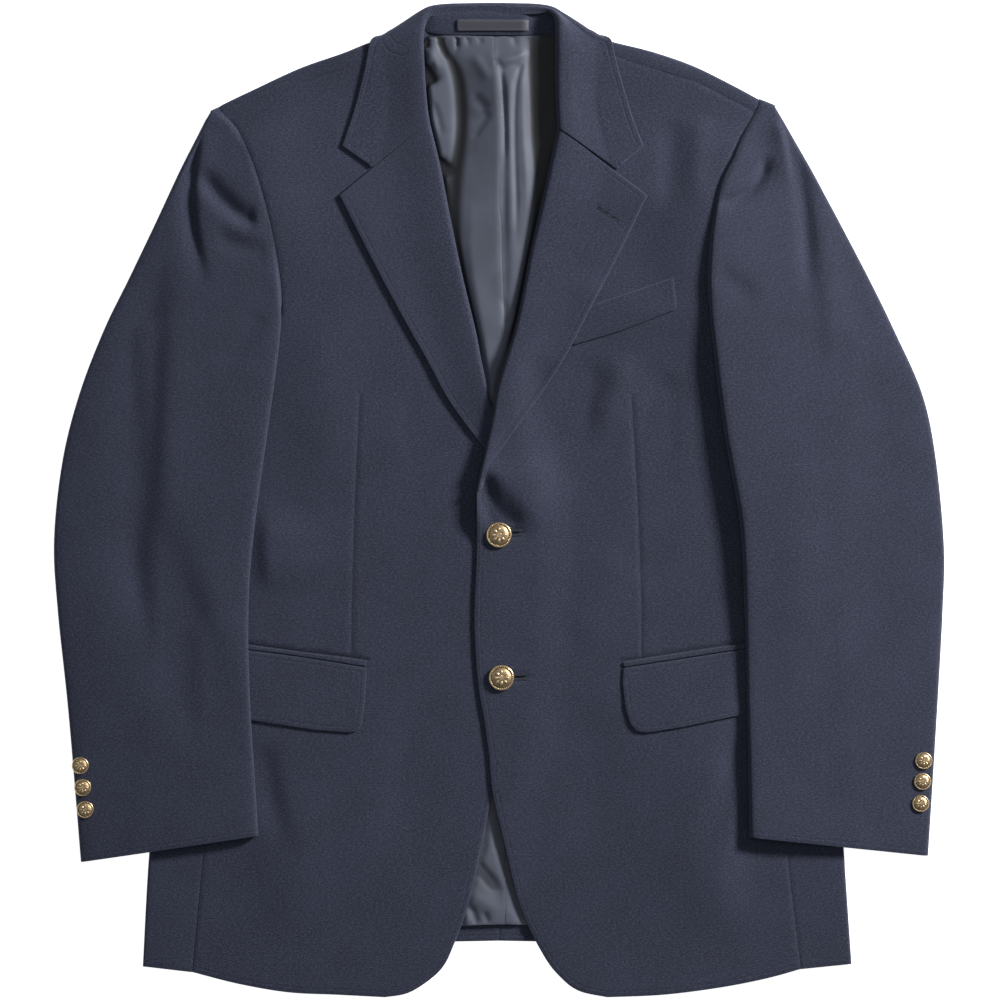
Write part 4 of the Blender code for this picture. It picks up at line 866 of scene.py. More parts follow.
def band(name, grid, thickness, material, sewn=(), pressed=()):
    """A wall with a rounded rim along a grid of middle points."""
    down, across = grid.shape[:2]
    over = np.gradient(grid, axis=1)
    ahead = np.gradient(grid, axis=0)
    normal = np.cross(over, ahead)
    normal /= np.maximum(np.linalg.norm(normal, axis=2), 1e-9)[..., None]
    x, y = grid[..., 0], grid[..., 1]
    dent = np.zeros(x.shape)
    # the seam values mark painted shade along the pressed lines
    seam = np.zeros(x.shape)
    for line, width, depth in pressed:
        close = smooth(1 - gap_to(x, y, line) / width)
        dent += depth * close
        seam = np.maximum(seam, close)
    top = grid + normal * (thickness / 2 - dent)[..., None]
    bottom = grid - normal * thickness / 2
    out = np.zeros_like(grid)
    out[:, 0] -= over[:, 0]
    out[:, -1] += over[:, -1]
    out[0] -= ahead[0]
    out[-1] += ahead[-1]
    index = np.arange(down * across).reshape(down, across)
    rim = [*index[0], *index[1:, -1], *index[-1, -2::-1], *index[-2:0:-1, 0]]
    middle, out = grid.reshape(-1, 3)[rim], out.reshape(-1, 3)[rim]
    out /= np.maximum(np.linalg.norm(out, axis=1), 1e-9)[:, None]
    up = normal.reshape(-1, 3)[rim]
    half = thickness / 2
    rim_places = [middle + up * half * math.sin(a) + out * half * EDGE_BULGE * math.cos(a)
                  for a in RIM_ANGLES]
    faces = [(a, a + 1, a + across + 1, a + across) for a in index[:-1, :-1].ravel().tolist()]
    steps = np.linalg.norm(np.diff(grid, axis=1), axis=2)
    u = np.concatenate([np.zeros((down, 1)), np.cumsum(steps, axis=1)], axis=1)
    steps = np.linalg.norm(np.diff(grid, axis=0), axis=2).mean(axis=1)
    v = np.repeat(np.concatenate([[0], np.cumsum(steps)])[:, None], across, axis=1)
    uv = np.stack([u, v], axis=2).reshape(-1, 2)
    edge = np.full(x.shape, FAR)
    for line in sewn:
        edge = np.minimum(edge, gap_to(x, y, line))
    edge, seam = edge.ravel(), seam.ravel()
    places = np.vstack([top.reshape(-1, 3), bottom.reshape(-1, 3), *rim_places])
    carried = [np.concatenate([values, values] + [values[rim]] * len(RIM_ANGLES))
               for values in (uv, edge, seam)]
    return mesh_piece(name, places, wall_faces(faces, down * across, rim), *carried, material)


# Node trees, for the materials and for what repeats.

class Value:
    """A node's output, on which plain arithmetic adds the nodes for it."""

    def __init__(self, tree, socket):
        self.tree, self.socket = tree, socket

    def maths(self, operation, *others, first=False):
        node = self.tree.nodes.new("ShaderNodeMath")
        node.operation = operation
        for slot, value in zip(node.inputs, (*others, self) if first else (self, *others)):
            feed(self.tree, slot, value)
        return Value(self.tree, node.outputs[0])

    def __add__(self, other):
        return self.maths("ADD", other)

    def __sub__(self, other):
        return self.maths("SUBTRACT", other)

    def __rsub__(self, other):
        return self.maths("SUBTRACT", other, first=True)

    def __mul__(self, other):
        return self.maths("MULTIPLY", other)

    def __abs__(self):
        return self.maths("ABSOLUTE")

    def sine(self):
        return self.maths("SINE")

    def output(self, label):
        """Another output of the same node."""
        return Value(self.tree, self.socket.node.outputs[label])


def feed(tree, slot, value):
    """Links an output or several to an input, or sets the input to a number, a place or a colour."""
    for one in value if isinstance(value, list) else [value]:
        if isinstance(one, Value):
            tree.links.new(one.socket, slot)
        else:
            slot.default_value = (*one, 1) if slot.type == "RGBA" else one


class Nodes:
    """A node tree, with a short way to add a node with its inputs."""

    def __init__(self, tree):
        self.tree = tree

    def node(self, kind, inputs, output=0, **settings):
        node = self.tree.nodes.new(kind)
        for label, value in settings.items():
            setattr(node, label, value)
        for key, value in inputs.items():
            feed(self.tree, node.inputs[key], value)
        return Value(self.tree, node.outputs[output])


class Finish(Nodes):
    """A material's tree, with what its patterns are read from and mixed with."""

    def __init__(self, name, settings):
        self.material = bpy.data.materials.new(name)
        self.material.use_nodes = True
        super().__init__(self.material.node_tree)
        self.put(settings)

    def put(self, settings):
        """Sets or links the shader's own inputs."""
        for key, value in settings.items():
            feed(self.tree, self.tree.nodes["Principled BSDF"].inputs[key], value)

    def cloth(self):
        return self.node("ShaderNodeUVMap", {}, uv_map="cloth")

    def body(self):
        return self.node("ShaderNodeTexCoord", {}, "Object")

    def measured(self, label):
        """A value that the mesh carries at its points."""
        return self.node("ShaderNodeAttribute", {}, "Fac", attribute_name=label)

    def noise(self, vector, scale, detail=2, roughness=0.6):
        return self.node("ShaderNodeTexNoise", {"Vector": vector, "Scale": scale, "Detail": detail,
                                                "Roughness": roughness}, "Fac")

    def mix(self, factor, first, second, blend="MIX"):
        return self.node("ShaderNodeMix", {0: factor, 6: first, 7: second}, 2, data_type="RGBA",
                         blend_type=blend)

    def step(self, value, low, high):
        """0 below low, 1 above high and smooth between them."""
        return self.node("ShaderNodeMapRange", {"Value": value, "From Min": low, "From Max": high},
                         interpolation_type="SMOOTHSTEP")

    def done(self, colour, roughness, height, depth, strength):
        """The material, with its colour, its roughness and a fine relief of the given depth."""
        bump = self.node("ShaderNodeBump", {"Height": height, "Distance": depth, "Strength": strength})
        self.put({"Base Color": colour, "Roughness": roughness, "Normal": bump})
        return self.material


def times(colour, factor):
    return tuple(min(1.0, c * factor) for c in colour)


def hopsack(sizes, colours):
    """Navy wool in a basket weave: threads in pairs, over and under, with flecks and a soft nap, painted
    shade along pressed lines and a lighter strip at sewn edges, partly wear and partly painted highlight.
    """
    m = Finish("hopsack", {"Sheen Weight": 0.22, "Sheen Roughness": 0.45, "Sheen Tint": (0.62, 0.68, 0.85),
                           "Specular IOR Level": 0.25})
    base = tuple(colours.cloth)
    cloth = m.cloth()
    cells = m.node("ShaderNodeVectorMath", {0: cloth, "Scale": 1 / sizes.weave}, operation="SCALE")
    apart = m.node("ShaderNodeSeparateXYZ", {"Vector": cells})
    over = m.node("ShaderNodeTexChecker", {"Vector": cells, "Scale": 1.0}, "Fac")
    warp, weft = (abs((apart.output(axis) * math.tau).sine()) for axis in "XY")
    threads = warp * over + weft * (1.0 - over)
    fleck = m.noise(cloth, 900, 3)
    drawn_out = m.node("ShaderNodeMapping", {"Vector": cloth, "Scale": (0.45, 1.0, 1.0)})
    slub = m.noise(drawn_out, 900, 3)
    nap = m.noise(m.body(), 26, 3, 0.55)
    ground = m.mix(m.step(nap, 0.3, 0.7), times(base, 0.9), times(base, 1.1))
    ground = m.mix(m.step(slub, 0.40, 0.66) * 0.6, ground, tuple(colours.cloth_fleck))
    shade = m.mix(m.step(fleck, 0.34, 0.52), times(base, 0.5), ground)
    between = m.mix(1.0, shade, (0.62, 0.62, 0.66), "MULTIPLY")
    shade = m.mix(threads * 0.55, between, shade)
    gap = m.measured("edge")
    # a lighter strip within 1.6 mm of a sewn edge: partly wear, partly a painted highlight
    worn_and_lit_edge = 1.0 - m.step(gap, 0.0, 1.6)
    shade = m.mix(worn_and_lit_edge * 0.14, shade, times(base, 2.0))
    # painted shade: pressed lines such as darts, buttonhole slits and pocket mouths are darkened towards a
    # fifth of the cloth's colour
    shade = m.mix(m.step(m.measured("seam"), 0.3, 1.0) * 0.62, shade, times(base, 0.22))
    sewn_down = m.step(abs(gap - sizes.stitch_inset / MM), 0.0, 1.5)
    height = threads * 0.45 + fleck * 0.8 + slub * 0.6 + sewn_down * 0.9
    return m.done(shade, fleck * 0.2 + 0.78, height, 0.00032, 0.55)


def satin(sizes, colours):
    """Grey-blue lining with a fine twill, a broad sheen and painted shade in its hollows."""
    m = Finish("satin", {"Sheen Weight": 0.12, "Sheen Roughness": 0.3, "Sheen Tint": (0.75, 0.82, 1.0),
                         "Specular IOR Level": 0.32, "Anisotropic": 0.2})
    base = tuple(colours.lining)
    cloth = m.cloth()
    apart = m.node("ShaderNodeSeparateXYZ", {"Vector": cloth})
    lean = apart.output("X") + apart.output("Y") * 0.6
    twill = (lean * (math.tau / TWILL_PITCH)).sine()
    fine, shot = m.noise(cloth, 1400), m.noise(m.body(), 40, 2, 0.5)
    shade = m.mix(m.step(shot, 0.3, 0.7), times(base, 0.85), times(base, 1.15))
    shade = m.mix(m.step(fine, 0.35, 0.65) * 0.3, shade, tuple(colours.lining_glint))
    # painted shade: nearly black where the seam values mark the lining's hollows
    shade = m.mix(m.step(m.measured("seam"), 0.1, 1.0) * 0.95, shade, times(base, 0.08))
    return m.done(shade, fine * 0.16 + 0.5, twill * 0.25 + fine, 0.00012, 0.35)


def woven_label(sizes, colours):
    """A plain label: fine ribs across, a border thread near each edge and no lettering."""
    m = Finish("woven_label", {"Sheen Weight": 0.1})
    base = tuple(colours.label)
    cloth = m.cloth()
    apart = m.node("ShaderNodeSeparateXYZ", {"Vector": cloth})
    rib = (apart.output("Y") * (math.tau / RIB_PITCH)).sine()
    fine = m.noise(cloth, 1600)
    shade = m.mix(m.step(fine, 0.35, 0.65), times(base, 0.7), times(base, 1.4))
    border = 1.0 - m.step(abs(m.measured("edge") - 1.0), 0.15, 0.45)
    shade = m.mix(border * 0.5, shade, tuple(colours.cloth_fleck))
    return m.done(shade, fine * 0.2 + 0.45, rib + fine, 0.0001, 0.4)


def antique_brass(sizes, colours):
    """Brass, bright on the high places and brown in the hollows, with faint scratches."""
    m = Finish("antique_brass", {"Metallic": 1.0})
    body = m.body()
    cloudy, fine = m.noise(body, 420, 3), m.noise(body, 2600)
    dull = m.measured("tarnish") + (cloudy - 0.5) * 0.7
    shade = m.mix(m.step(dull, 0.1, 1.0), tuple(colours.brass), tuple(colours.tarnish))
    rough = m.step(dull, 0.0, 1.0) * 0.3 + 0.3 + fine * 0.08
    return m.done(shade, rough, cloudy + fine * 0.5, 0.00008, 0.3)


def thread(sizes, colours):
    """Navy sewing silk with a twist."""
    m = Finish("thread", {"Sheen Weight": 0.15, "Specular IOR Level": 0.4})
    base = tuple(colours.thread)
    twist = m.noise(m.body(), 2400)
    shade = m.mix(m.step(twist, 0.3, 0.7), times(base, 0.6), times(base, 1.3))
    return m.done(shade, twist * 0.2 + 0.5, twist, 0.0001, 0.4)


def finish_of(maker):
    """The material that a maker makes, made when it is first asked for."""
    scene = bpy.context.scene
    return bpy.data.materials.get(maker.__name__) or maker(scene.coat_sizes, scene.coat_colours)


# Geometry nodes for what repeats.

SOCKETS = {float: "NodeSocketFloat", int: "NodeSocketInt", tuple: "NodeSocketVector",
           type(None): "NodeSocketMaterial"}


class Growth(Nodes):
    """A geometry tree that starts from a mesh and has inputs, given here with their defaults."""

    def __init__(self, name, inputs):
        super().__init__(bpy.data.node_groups.new(name, "GeometryNodeTree"))
        sockets = self.tree.interface
        sockets.new_socket("Geometry", in_out="INPUT", socket_type="NodeSocketGeometry")
        for label, default in inputs.items():
            socket = sockets.new_socket(label, in_out="INPUT", socket_type=SOCKETS[type(default)])
            if default is not None:
                socket.default_value = default
        sockets.new_socket("Geometry", in_out="OUTPUT", socket_type="NodeSocketGeometry")
        self.start = self.tree.nodes.new("NodeGroupInput")

    def given(self, label="Geometry"):
        return Value(self.tree, self.start.outputs[label])

    def done(self, instances):
        """The tree, which ends with plain smooth geometry in the given material."""
        real = self.node("GeometryNodeRealizeInstances", {"Geometry": instances})
        soft = self.node("GeometryNodeSetShadeSmooth", {"Geometry": real})
        last = self.node("GeometryNodeSetMaterial", {"Geometry": soft, "Material": self.given("Material")})
        feed(self.tree, self.tree.nodes.new("NodeGroupOutput").inputs["Geometry"], last)
        return self.tree


def stitch_tree():
    """Small thread ovals along the edges of a mesh of lines, each turned by the given angle."""
    t = Growth("Stitches along a line", {"Pitch": 0.004, "Length": 0.0012, "Width": 0.0005, "Turn": 0.0,
                                         "Material": None})
    line = t.node("GeometryNodeMeshToCurve", {"Mesh": t.given()})
    spots = t.node("GeometryNodeCurveToPoints", {"Curve": line, "Length": t.given("Pitch")}, mode="LENGTH")
    ahead = t.node("FunctionNodeAlignRotationToVector", {"Vector": spots.output("Tangent")}, axis="X")
    angle = t.node("FunctionNodeAxisAngleToRotation", {"Angle": t.given("Turn")})
    turned = t.node("FunctionNodeRotateRotation", {"Rotation": ahead, "Rotate By": angle},
                    rotation_space="LOCAL")
    oval = t.node("GeometryNodeMeshUVSphere", {"Segments": 8, "Rings": 5, "Radius": 0.5})
    size = t.node("ShaderNodeCombineXYZ", {"X": t.given("Length"), "Y": t.given("Width"),
                                           "Z": t.given("Width")})
    return t.done(t.node("GeometryNodeInstanceOnPoints", {"Points": spots, "Instance": oval,
                                                          "Rotation": turned, "Scale": size}))


def rosette_tree():
    """A button's body with a ring of beads, a ring of petals and a boss on its face."""
    t = Growth("Rosette on a button", {"Centre": (0, 0, 0), "Radius": 0.01, "Beads": 30, "Petals": 8,
                                       "Bead level": 0.004, "Petal level": 0.005, "Material": None})

    def ring_of(count, level, ring_share, shape, segments):
        """A ring of balls; its radius and theirs are shares of the button's."""
        radius = t.given("Radius")
        circle = t.node("GeometryNodeMeshCircle", {"Vertices": t.given(count), "Radius": radius * ring_share})
        ball = t.node("GeometryNodeMeshUVSphere", {"Segments": segments, "Rings": segments // 2 + 1,
                                                   "Radius": 1.0})
        size = t.node("ShaderNodeCombineXYZ", {axis: radius * share for axis, share in zip("XYZ", shape)})
        outwards = t.node("FunctionNodeAlignRotationToVector",
                          {"Vector": t.node("GeometryNodeInputPosition", {})}, axis="X")
        balls = t.node("GeometryNodeInstanceOnPoints", {"Points": circle, "Instance": ball,
                                                        "Rotation": outwards, "Scale": size})
        up = t.node("ShaderNodeCombineXYZ", {"Z": t.given(level)})
        return t.node("GeometryNodeTransform", {"Geometry": balls, "Translation": up})

    beads = ring_of("Beads", "Bead level", 0.845, (0.045, 0.045, 0.045), 8)
    petals = ring_of("Petals", "Petal level", 0.42, (0.19, 0.115, 0.05), 12)
    seeds = ring_of("Petals", "Petal level", 0.155, (0.05, 0.05, 0.06), 8)
    face = t.node("GeometryNodeJoinGeometry", {"Geometry": [beads, petals, seeds]})
    face = t.node("GeometryNodeTransform", {"Geometry": face, "Translation": t.given("Centre")})
    return t.done(t.node("GeometryNodeJoinGeometry", {"Geometry": [face, t.given()]}))


def linked(name, data):
    """A new object in the scene with the given mesh, light or camera."""
    found = bpy.data.objects.new(name, data)
    bpy.context.scene.collection.objects.link(found)
    return found


def grown(name, source, maker, values):
    """The plain mesh that a maker's geometry tree makes of a source object, which is then removed."""
    modifier = source.modifiers.new(name, "NODES")
    modifier.node_group = tree = maker()
    for item in tree.interface.items_tree:
        if item.item_type == "SOCKET" and item.in_out == "INPUT" and item.name in values:
            modifier[item.identifier] = values[item.name]
    bpy.context.view_layer.update()
    found = source.evaluated_get(bpy.context.evaluated_depsgraph_get())
    mesh = bpy.data.meshes.new_from_object(found)
    bpy.data.objects.remove(source, do_unlink=True)
    bpy.data.node_groups.remove(tree)
    mesh.name = name
    return linked(name, mesh)


def stitches(name, lines, pitch=None, length=None, width=None, turn=0.0):
    """Stitches along open lines of points in millimetres."""
    sizes = bpy.context.scene.coat_sizes
    places, edges = [], []
    for line in lines:
        first = len(places)
        places += (np.asarray(line) * MM).tolist()
        edges += [(first + i, first + i + 1) for i in range(len(line) - 1)]
    mesh = bpy.data.meshes.new(name)
    mesh.from_pydata(places, edges, [])
    piece = grown(name, linked(name, mesh), stitch_tree, {
        "Pitch": pitch or sizes.stitch_pitch, "Length": length or sizes.stitch_length,
        "Width": width or sizes.stitch_width, "Turn": turn, "Material": finish_of(thread)})
    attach(piece, "root")
    return piece


def dressed(piece, slot, *rests_on):
    """Puts a piece in the place of the CAD node that it is named after; the cloth that it is said to be is
    not used.
    """
    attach(piece, "root")
    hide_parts(piece.name.removesuffix("_cloth"))
    size = piece.data.uv_layers["cloth"].data
    uv = np.empty(len(size) * 2, np.float32)
    size.foreach_get("uv", uv)
    return piece


# The body.

def build_back(side, material):
    """One half of the back, whose shoulder comes over the fold to the shoulder seam."""
    s = side.sign
    line = SHOULDER_LINE[side.name]
    first, last = np.array(line[0]), np.array(line[-1])
    ahead = (last - first) / np.linalg.norm(last - first)
    out = np.array([-ahead[1], ahead[0]]) * s
    middle = FOLD_RADIUS - BACK_WALL / 2
    half_turn = math.pi * middle
    dense = curve(line, 6) - first
    fold = np.column_stack([dense @ ahead, dense @ out])
    order = np.argsort(fold[:, 0])

    def fold_at(a):
        return np.interp(a, fold[order, 0], fold[order, 1])

    def bend(x, y, height):
        at = np.column_stack([x, y]) - first
        a, b = at @ ahead, at @ out
        past = b - fold_at(a)
        angle = np.clip(past / middle, 0, math.pi)
        reach = fold_at(a) + (FOLD_RADIUS - height) * np.sin(angle) - np.maximum(0, past - half_turn)
        over = (past > 0) & (y >= SHOULDER_FROM)
        turned = first + ahead * a[:, None] + out * reach[:, None]
        return (np.where(over, turned[:, 0], x), np.where(over, turned[:, 1], y),
                np.where(over, FOLD_RADIUS - (FOLD_RADIUS - height) * np.cos(angle), height))

    def spot(a, b):
        return first + ahead * a + out * b

    reach = half_turn + SHOULDER_STRIP - CLEAR
    guides = [[spot(a, b + half_turn * t) for a, b in fold[1:-1]] for t in np.linspace(0, 1, 8)]
    seam = [spot(a, b + reach) for a, b in fold[1:]]
    a, b = fold[-1]
    seam += [spot(a, b + reach * t) for t in (0.75, 0.5, 0.25, 0)]
    hem = curve(mirrored(BACK_HEM, side), 6)
    seam_side = curve([(s * (r.back_x - 2 * CLEAR), r.back_y) for r in SIDES[side.name]], 8)
    armhole = curve(mirrored(BACK_ARMHOLE, side), 8)[1:]
    centre = mirrored((BACK_HEM[-1], (CENTRE_GAP, CENTRE_TOP)), side)
    outline = joined(mirrored(BACK_NECK, side), seam, armhole[::-1], seam_side, hem, centre)
    wide, low, high, step = BACK_HEM_SHOWS
    fine = [(min(0, s * wide), low, max(0, s * wide), high, step)]
    return panel(f"back_{side.name}_cloth", outline, neck_rise, BACK_WALL, BACK_STEP, material, bend,
                 guides, fine, sewn=[hem])


def lining_hollows(x, y):
    """How far shade is painted on the lining: 1 in its deep hollows and low places, where hardly any light
    comes, and 0 elsewhere.
    """
    full = 3.0 - 1.6 * fade(y, 352, 372)
    lift = lining_fullness(x, y)
    upper = fade(lift, full, 0.2 * full) * fade(y, 90, 150) * fade(y, 384, 379)
    return np.where(y > 0, upper, 0.8 * fade(lift, 0.9, -0.7) * (y > -345))


def build_lining(side, material):
    s = side.sign
    seam_side = curve([(s * (r.back_x - LINING_SIDE_GAP), r.back_y) for r in SIDES[side.name]
                       if r.back_y > -340], 8)
    armhole = moved(curve(mirrored(BACK_ARMHOLE[:-1], side), 8), LINING_ARMHOLE_GAP * s)
    straight = [(LINING_SEAM[-1][0], y) for y in range(*LINING_CENTRE)]
    centre = [(x + s * LINING_HALF_GAP, y) for x, y in [*curve(LINING_SEAM, 3)[:-1], *straight]]
    outline = joined(mirrored(LINING_NECK, side), centre, mirrored(LINING_HEM, side), seam_side[::-1],
                     armhole, mirrored(LINING_SHOULDER, side))
    low, high = outline[:, 0].min(), outline[:, 0].max()
    fine = [(max(x0, low), y0, min(x1, high), y1, LINING_FINE_STEP) for x0, y0, x1, y1 in LINING_SHOWS]
    return panel(f"back_lining_{side.name}_cloth", outline, lining_level, LINING_WALL, LINING_STEP,
                 material, fine=fine, lap=LINING_SEAM_LAP, painted_shade=lining_hollows)


def build_side(side, material):
    """From the back seam round the fold to the front seam."""
    s = side.sign
    low = BACK_WALL / 2
    high = FRONT_LEVEL + FRONT_WALL / 2
    radius = (high - low) / 2
    grid = []
    for bx, by, fx, fy, tx, ty in curve(SIDES[side.name], 6):
        centre = fx - FOLD_RADIUS
        row = [(bx + (centre - bx) * t, by + (fy - by) * t, low) for t in np.linspace(0, 1, 8)]
        for angle in np.radians(np.arange(18, 180, 18)):
            row.append((centre + radius * math.sin(angle), fy, low + radius * (1 - math.cos(angle))))
        row += [(centre + (tx + CLEAR - centre) * t, fy + (ty - fy) * t, high)
                for t in np.linspace(0, 1, 12)]
        grid.append([(x * s, y, z) for x, y, z in row])
    grid = np.array(grid)
    return band(f"side_{side.name}_cloth", grid, BACK_WALL, material, sewn=[grid[-1, :, :2]])


def front_outline(side):
    s = side.sign
    roll = [(x + s * ROLL_INSET, y) for x, y in curve(ROLL[side.name], 4)]
    edge = curve(FRONT_EDGE[side.name], 4)
    hem = curve(FRONT_HEM[side.name], 4)
    seam = curve([(s * r.front_x, r.front_y) for r in SIDES[side.name]], 5)[::-1]
    low = curve(mirrored(ARMHOLE_LOW, side), 5)
    sleeve = curve([(e.inner_x, e.inner_y) for e in SLEEVES[side.name]], 4)
    armhole = [(x - s * ARMHOLE_INSET + s * HEAD_OUTSET * float(fade(y, 302, 314)), y) for x, y in sleeve
               if ARMHOLE_SPAN[0] < y < ARMHOLE_SPAN[1]][::-1]
    shoulder = moved(curve(SHOULDER_LINE[side.name], 5)[::-1], s * (SHOULDER_STRIP + SHOULDER_GAP[side.name]))
    shoulder = [p for p in shoulder if NECK_SIDE < abs(p[0]) < abs(armhole[-1][0]) - 1]
    return joined(roll[::-1], edge, hem, seam, low, armhole, shoulder)


def build_front(side, material):
    edge, hem = curve(FRONT_EDGE[side.name], 4), curve(FRONT_HEM[side.name], 4)
    pressed = [(curve(DARTS[side.name], 3), *DART_PRESS)]
    pressed += [(resampled(slit, 2), *BUTTONHOLE_PRESS) for slit in SLITS[side.name]]
    pressed += [(resampled(line[side.name], 3), *POCKET_PRESS) for line in (JET_UPPER, JET_LOWER)]
    return panel(f"front_{side.name}_cloth", front_outline(side), FRONT_LEVELS[side.name], FRONT_WALL,
                 bpy.context.scene.coat_sizes.mesh / MM, material, sewn=[edge, hem], pressed=pressed)


# Lapels, collar, stand and label.

def lapel_grid(side):
    """The middle surface of a lapel: from the front's edge, round the roll and out to its own edge."""
    shares = np.linspace(0, 1, 30)[1:]
    grid = []
    for rx, ry, ex, ey, radius in resampled(curve(LAPELS[side.name], dense=14), 3):
        roll = np.array([rx, ry])
        d = np.array([ex, ey]) - roll
        width = np.linalg.norm(d)
        d /= width
        low = float(lapel_level(side, rx, ry)) - CLEAR - FRONT_WALL / 2
        start = radius + LAPEL_WALL / 2
        row = [(*(roll + d * LAPEL_TUCK), low)]
        for angle in np.radians(np.linspace(0, 180, 13)):
            at = roll + d * (start - radius * math.sin(angle))
            row.append((*at, low + radius * (1 - math.cos(angle))))
        crest = low + 2 * radius
        u = start + (width - start) * shares
        x, y = rx + d[0] * u, ry + d[1] * u
        lay = lapel_level(side, x, y) + LAPEL_WALL / 2
        lay += LAPEL_EDGE_LIFT * fade(width - u, 34, 0) * fade(width, 14, 44)
        drop = 1 - smooth((u - start) / min(LAPEL_DROP[0], width * LAPEL_DROP[1]))
        z = np.maximum(lay, lay + (crest - lay) * drop)
        row += list(zip(x, y, z))
        grid.append(row)
    return np.array(grid, float)


def build_lapel(side, material):
    grid = lapel_grid(side)
    gorge = grid[-1, -14:, :2]
    pressed = [(resampled(LAPEL_SLIT, 1), *LAPEL_HOLE_PRESS)] if side is LEFT else []
    return band(f"lapel_{side.name}_cloth", grid, LAPEL_WALL, material, sewn=[grid[:, -1, :2], gorge],
                pressed=pressed)


def collar_section(r):
    """One row across the collar: round its roll, out over its run and under at the back neck's fold."""
    side = LEFT if r.roll_x > 0 else RIGHT
    half = COLLAR_WALL / 2
    roll, far, edge = (Vector((r.roll_x, r.roll_y)), Vector((r.far_x, r.far_y)),
                       Vector((r.edge_x, r.edge_y)))
    d = (far - roll).normalized()
    low = neck_rise(*roll) + FRONT_LEVEL + FRONT_WALL / 2
    lift = ROLL_LIFT[side.name]
    crest = r.crest + float(lift.height * smooth((lift.start - r.roll_y) / lift.reach))
    radius = max(LEAST_ROLL, (crest - low) / 2)

    def lay(at):
        return r.lay or float(on_front(side, at.x, at.y)) + half

    row = []
    for i, angle in enumerate((180, 180, 135, 90, 45, 0)):
        a = math.radians(angle)
        turned_u = radius + half - radius * math.sin(a) if i else COLLAR_TUCK
        turned_z = low + radius * (1 + math.cos(a)) if i else low
        u = turned_u * r.turn + (FLAT_START + FLAT_STEP * i) * (1 - r.turn)
        at = roll + d * u
        tucked = STAND_TUCK * (1 - i / 5) * (1 - r.turn)
        row.append((at.x, at.y, turned_z * r.turn + crest * (1 - r.turn) - tucked))
    start = roll + d * ((radius + half) * r.turn + FLAT_STOP * (1 - r.turn))
    fold = ((r.lay or 0) - half) / 2
    stop = far - d * (fold + half) if r.under else far
    for share in (0.22, 0.5, 0.82):
        at = start.lerp(stop, share)
        row.append((at.x, at.y, lay(at) + (crest - lay(at)) * (1 - smooth(share * 1.1))))
    turn = math.pi * r.under
    out = (edge - stop).normalized() if r.under < 1 else d
    for i in range(5):
        if r.under:
            a = turn * i / 4
            at = stop + out * fold * math.sin(a)
            row.append((at.x, at.y, r.lay - fold * (1 - math.cos(a))))
        else:
            at = stop.lerp(edge, 0.12 * i)
            row.append((at.x, at.y, lay(at)))
    last = Vector(row[-1])
    for share in (0.33, 0.67, 1):
        if r.under == 0.5:
            row.append((last.x, last.y, last.z - HANGING * share))
        elif r.under:
            row.append((last.x + (edge.x - last.x) * share, last.y + (edge.y - last.y) * share, half))
        else:
            at = last.xy.lerp(edge, share)
            row.append((at.x, at.y, lay(at)))
    return row


def build_collar(material):
    """The fall: on the fronts from the gorge to the shoulders, then under the back neck."""
    grid = refined(np.array([collar_section(row) for row in COLLAR], float), 6, 4)
    rows, columns = COLLAR_SEWN
    edges = [grid[:rows, -1, :2], grid[-rows:, -1, :2], grid[0, columns:, :2], grid[-1, columns:, :2]]
    return band("collar_cloth", grid, COLLAR_WALL, material, sewn=edges)


def build_stand(material):
    outline = joined(curve(STAND_BOTTOM, 3), curve(STAND_TOP, 3))
    return panel("collar_stand_cloth", outline, stand_level, COLLAR_WALL, STAND_STEP, material)


def build_label(material):
    """The bare label, sewn on the stand all round."""
    outline = joined(resampled(closed(LABEL), LABEL_STEP))
    return panel("neck_label_cloth", outline, lambda x, y: stand_level(x, y) + COLLAR_WALL + CLEAR,
                 LABEL_WALL, LABEL_STEP, material, sewn=[closed(outline)])


# The sleeves.

def sleeve_rows(side, step):
    return [Edge(*row) for row in resampled(curve(SLEEVES[side.name], dense=16), step)]


